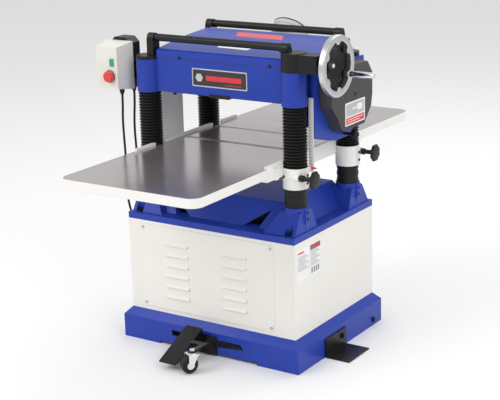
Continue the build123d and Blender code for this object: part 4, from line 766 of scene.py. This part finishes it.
# a bead round the outlet's mouth: a small closed section turned about the leaning axis
def addPortBead(v):
    lean = math.radians(v["lean"])
    along = np.array([0, math.sin(lean), math.cos(lean)])
    out, side = np.array([0, math.cos(lean), -math.sin(lean)]), np.array([1.0, 0, 0])
    angle = np.linspace(0, 2 * math.pi, v["around"], endpoint=False)[:, None]
    turn = np.linspace(0, 2 * math.pi, v["steps"], endpoint=False)[None, :]
    radius = v["radius"] - v["inset"] + v["bead"] * np.cos(turn) + 0 * angle
    height = v["length"] - v["back"] + v["bead"] * np.sin(turn) + 0 * angle
    across = np.cos(angle)[..., None] * out + np.sin(angle)[..., None] * side
    points = np.array(v["foot"]) + radius[..., None] * across + height[..., None] * along
    return points.reshape(-1, 3), gridFaces(v["around"], v["steps"]).tolist()


addPiece("portBead", [addPortBead(port)], "frame", "blackPlastic")
# the junction box's lid and its four screws
junction = dict(lid=(-174, -110, 220, 292, -393.2, -391.8, 4),
                head=[(0, -392), (3, -392), (3, -394), (0, -394)],
                screws=[(y, z) for y in (-168, -116) for z in (226, 286)])
addPiece("junctionLid", [panelX(*junction["lid"])], "frame", "creamPlastic")
addPiece("junctionScrews", [turned(junction["head"], "x", (0, y, z), 16) for y, z in junction["screws"]],
         "frame", "steel")
# the switch box: a raised plate behind the buttons and a ring round the stop button
switch = dict(plate=(-410, -376, 903, 996, -250.6, -249.8, 6), stopAt=(-398, 0, 926),
              ring=[(20, -250), (21.5, -250), (21.5, -252.5), (20, -252.5)])
addPiece("switchPlate", [panelY(*switch["plate"])], "frame", "creamPlastic")
addPiece("stopRing", [turned(switch["ring"], "y", switch["stopAt"], 40)],
         "frame", "blackPlastic")
print("fittings made")

# floor and lights, in metres
floorLook = dict(half=14.0, colour=(0.9, 0.9, 0.9, 1), rough=0.7)


# one pale square at floor level
def addFloor(v):
    mesh = bpy.data.meshes.new("floor")
    half = v["half"]
    corners = [(-half, -half, 0), (half, -half, 0), (half, half, 0), (-half, half, 0)]
    mesh.from_pydata(corners, [], [[0, 1, 2, 3]])
    obj = bpy.data.objects.new("floor", mesh)
    scene.collection.objects.link(obj)
    material = bpy.data.materials.new("paleFloor")
    material.use_nodes = True
    shader = material.node_tree.nodes["Principled BSDF"]
    shader.inputs["Base Color"].default_value = v["colour"]
    shader.inputs["Roughness"].default_value = v["rough"]
    mesh.materials.append(material)


addFloor(floorLook)
lights = [dict(place=(-2.2, -3.4, 3.6), size=3.0, power=84.0),
          dict(place=(3.6, -1.6, 3.0), size=2.6, power=46.0),
          dict(place=(0.3, 2.6, 3.8), size=3.0, power=46.0)]
lightTarget = Vector((0, 0, 0.6))
# soft square lamps, each turned to the middle of the machine
for number, lamp in enumerate(lights):
    data = bpy.data.lights.new(f"softbox{number}", "AREA")
    data.energy, data.size = lamp["power"], lamp["size"]
    box = bpy.data.objects.new(f"softbox{number}", data)
    scene.collection.objects.link(box)
    box.location = lamp["place"]
    box.rotation_euler = (lightTarget - box.location).to_track_quat("-Z", "Y").to_euler()
worldLook = dict(colour=(1, 1, 1, 1), strength=0.78)
world = bpy.data.worlds.new("studio")
scene.world = world
world.use_nodes = True
world.node_tree.nodes["Background"].inputs["Color"].default_value = worldLook["colour"]
world.node_tree.nodes["Background"].inputs["Strength"].default_value = worldLook["strength"]
scene.view_settings.view_transform = "Standard"
print("stage set")
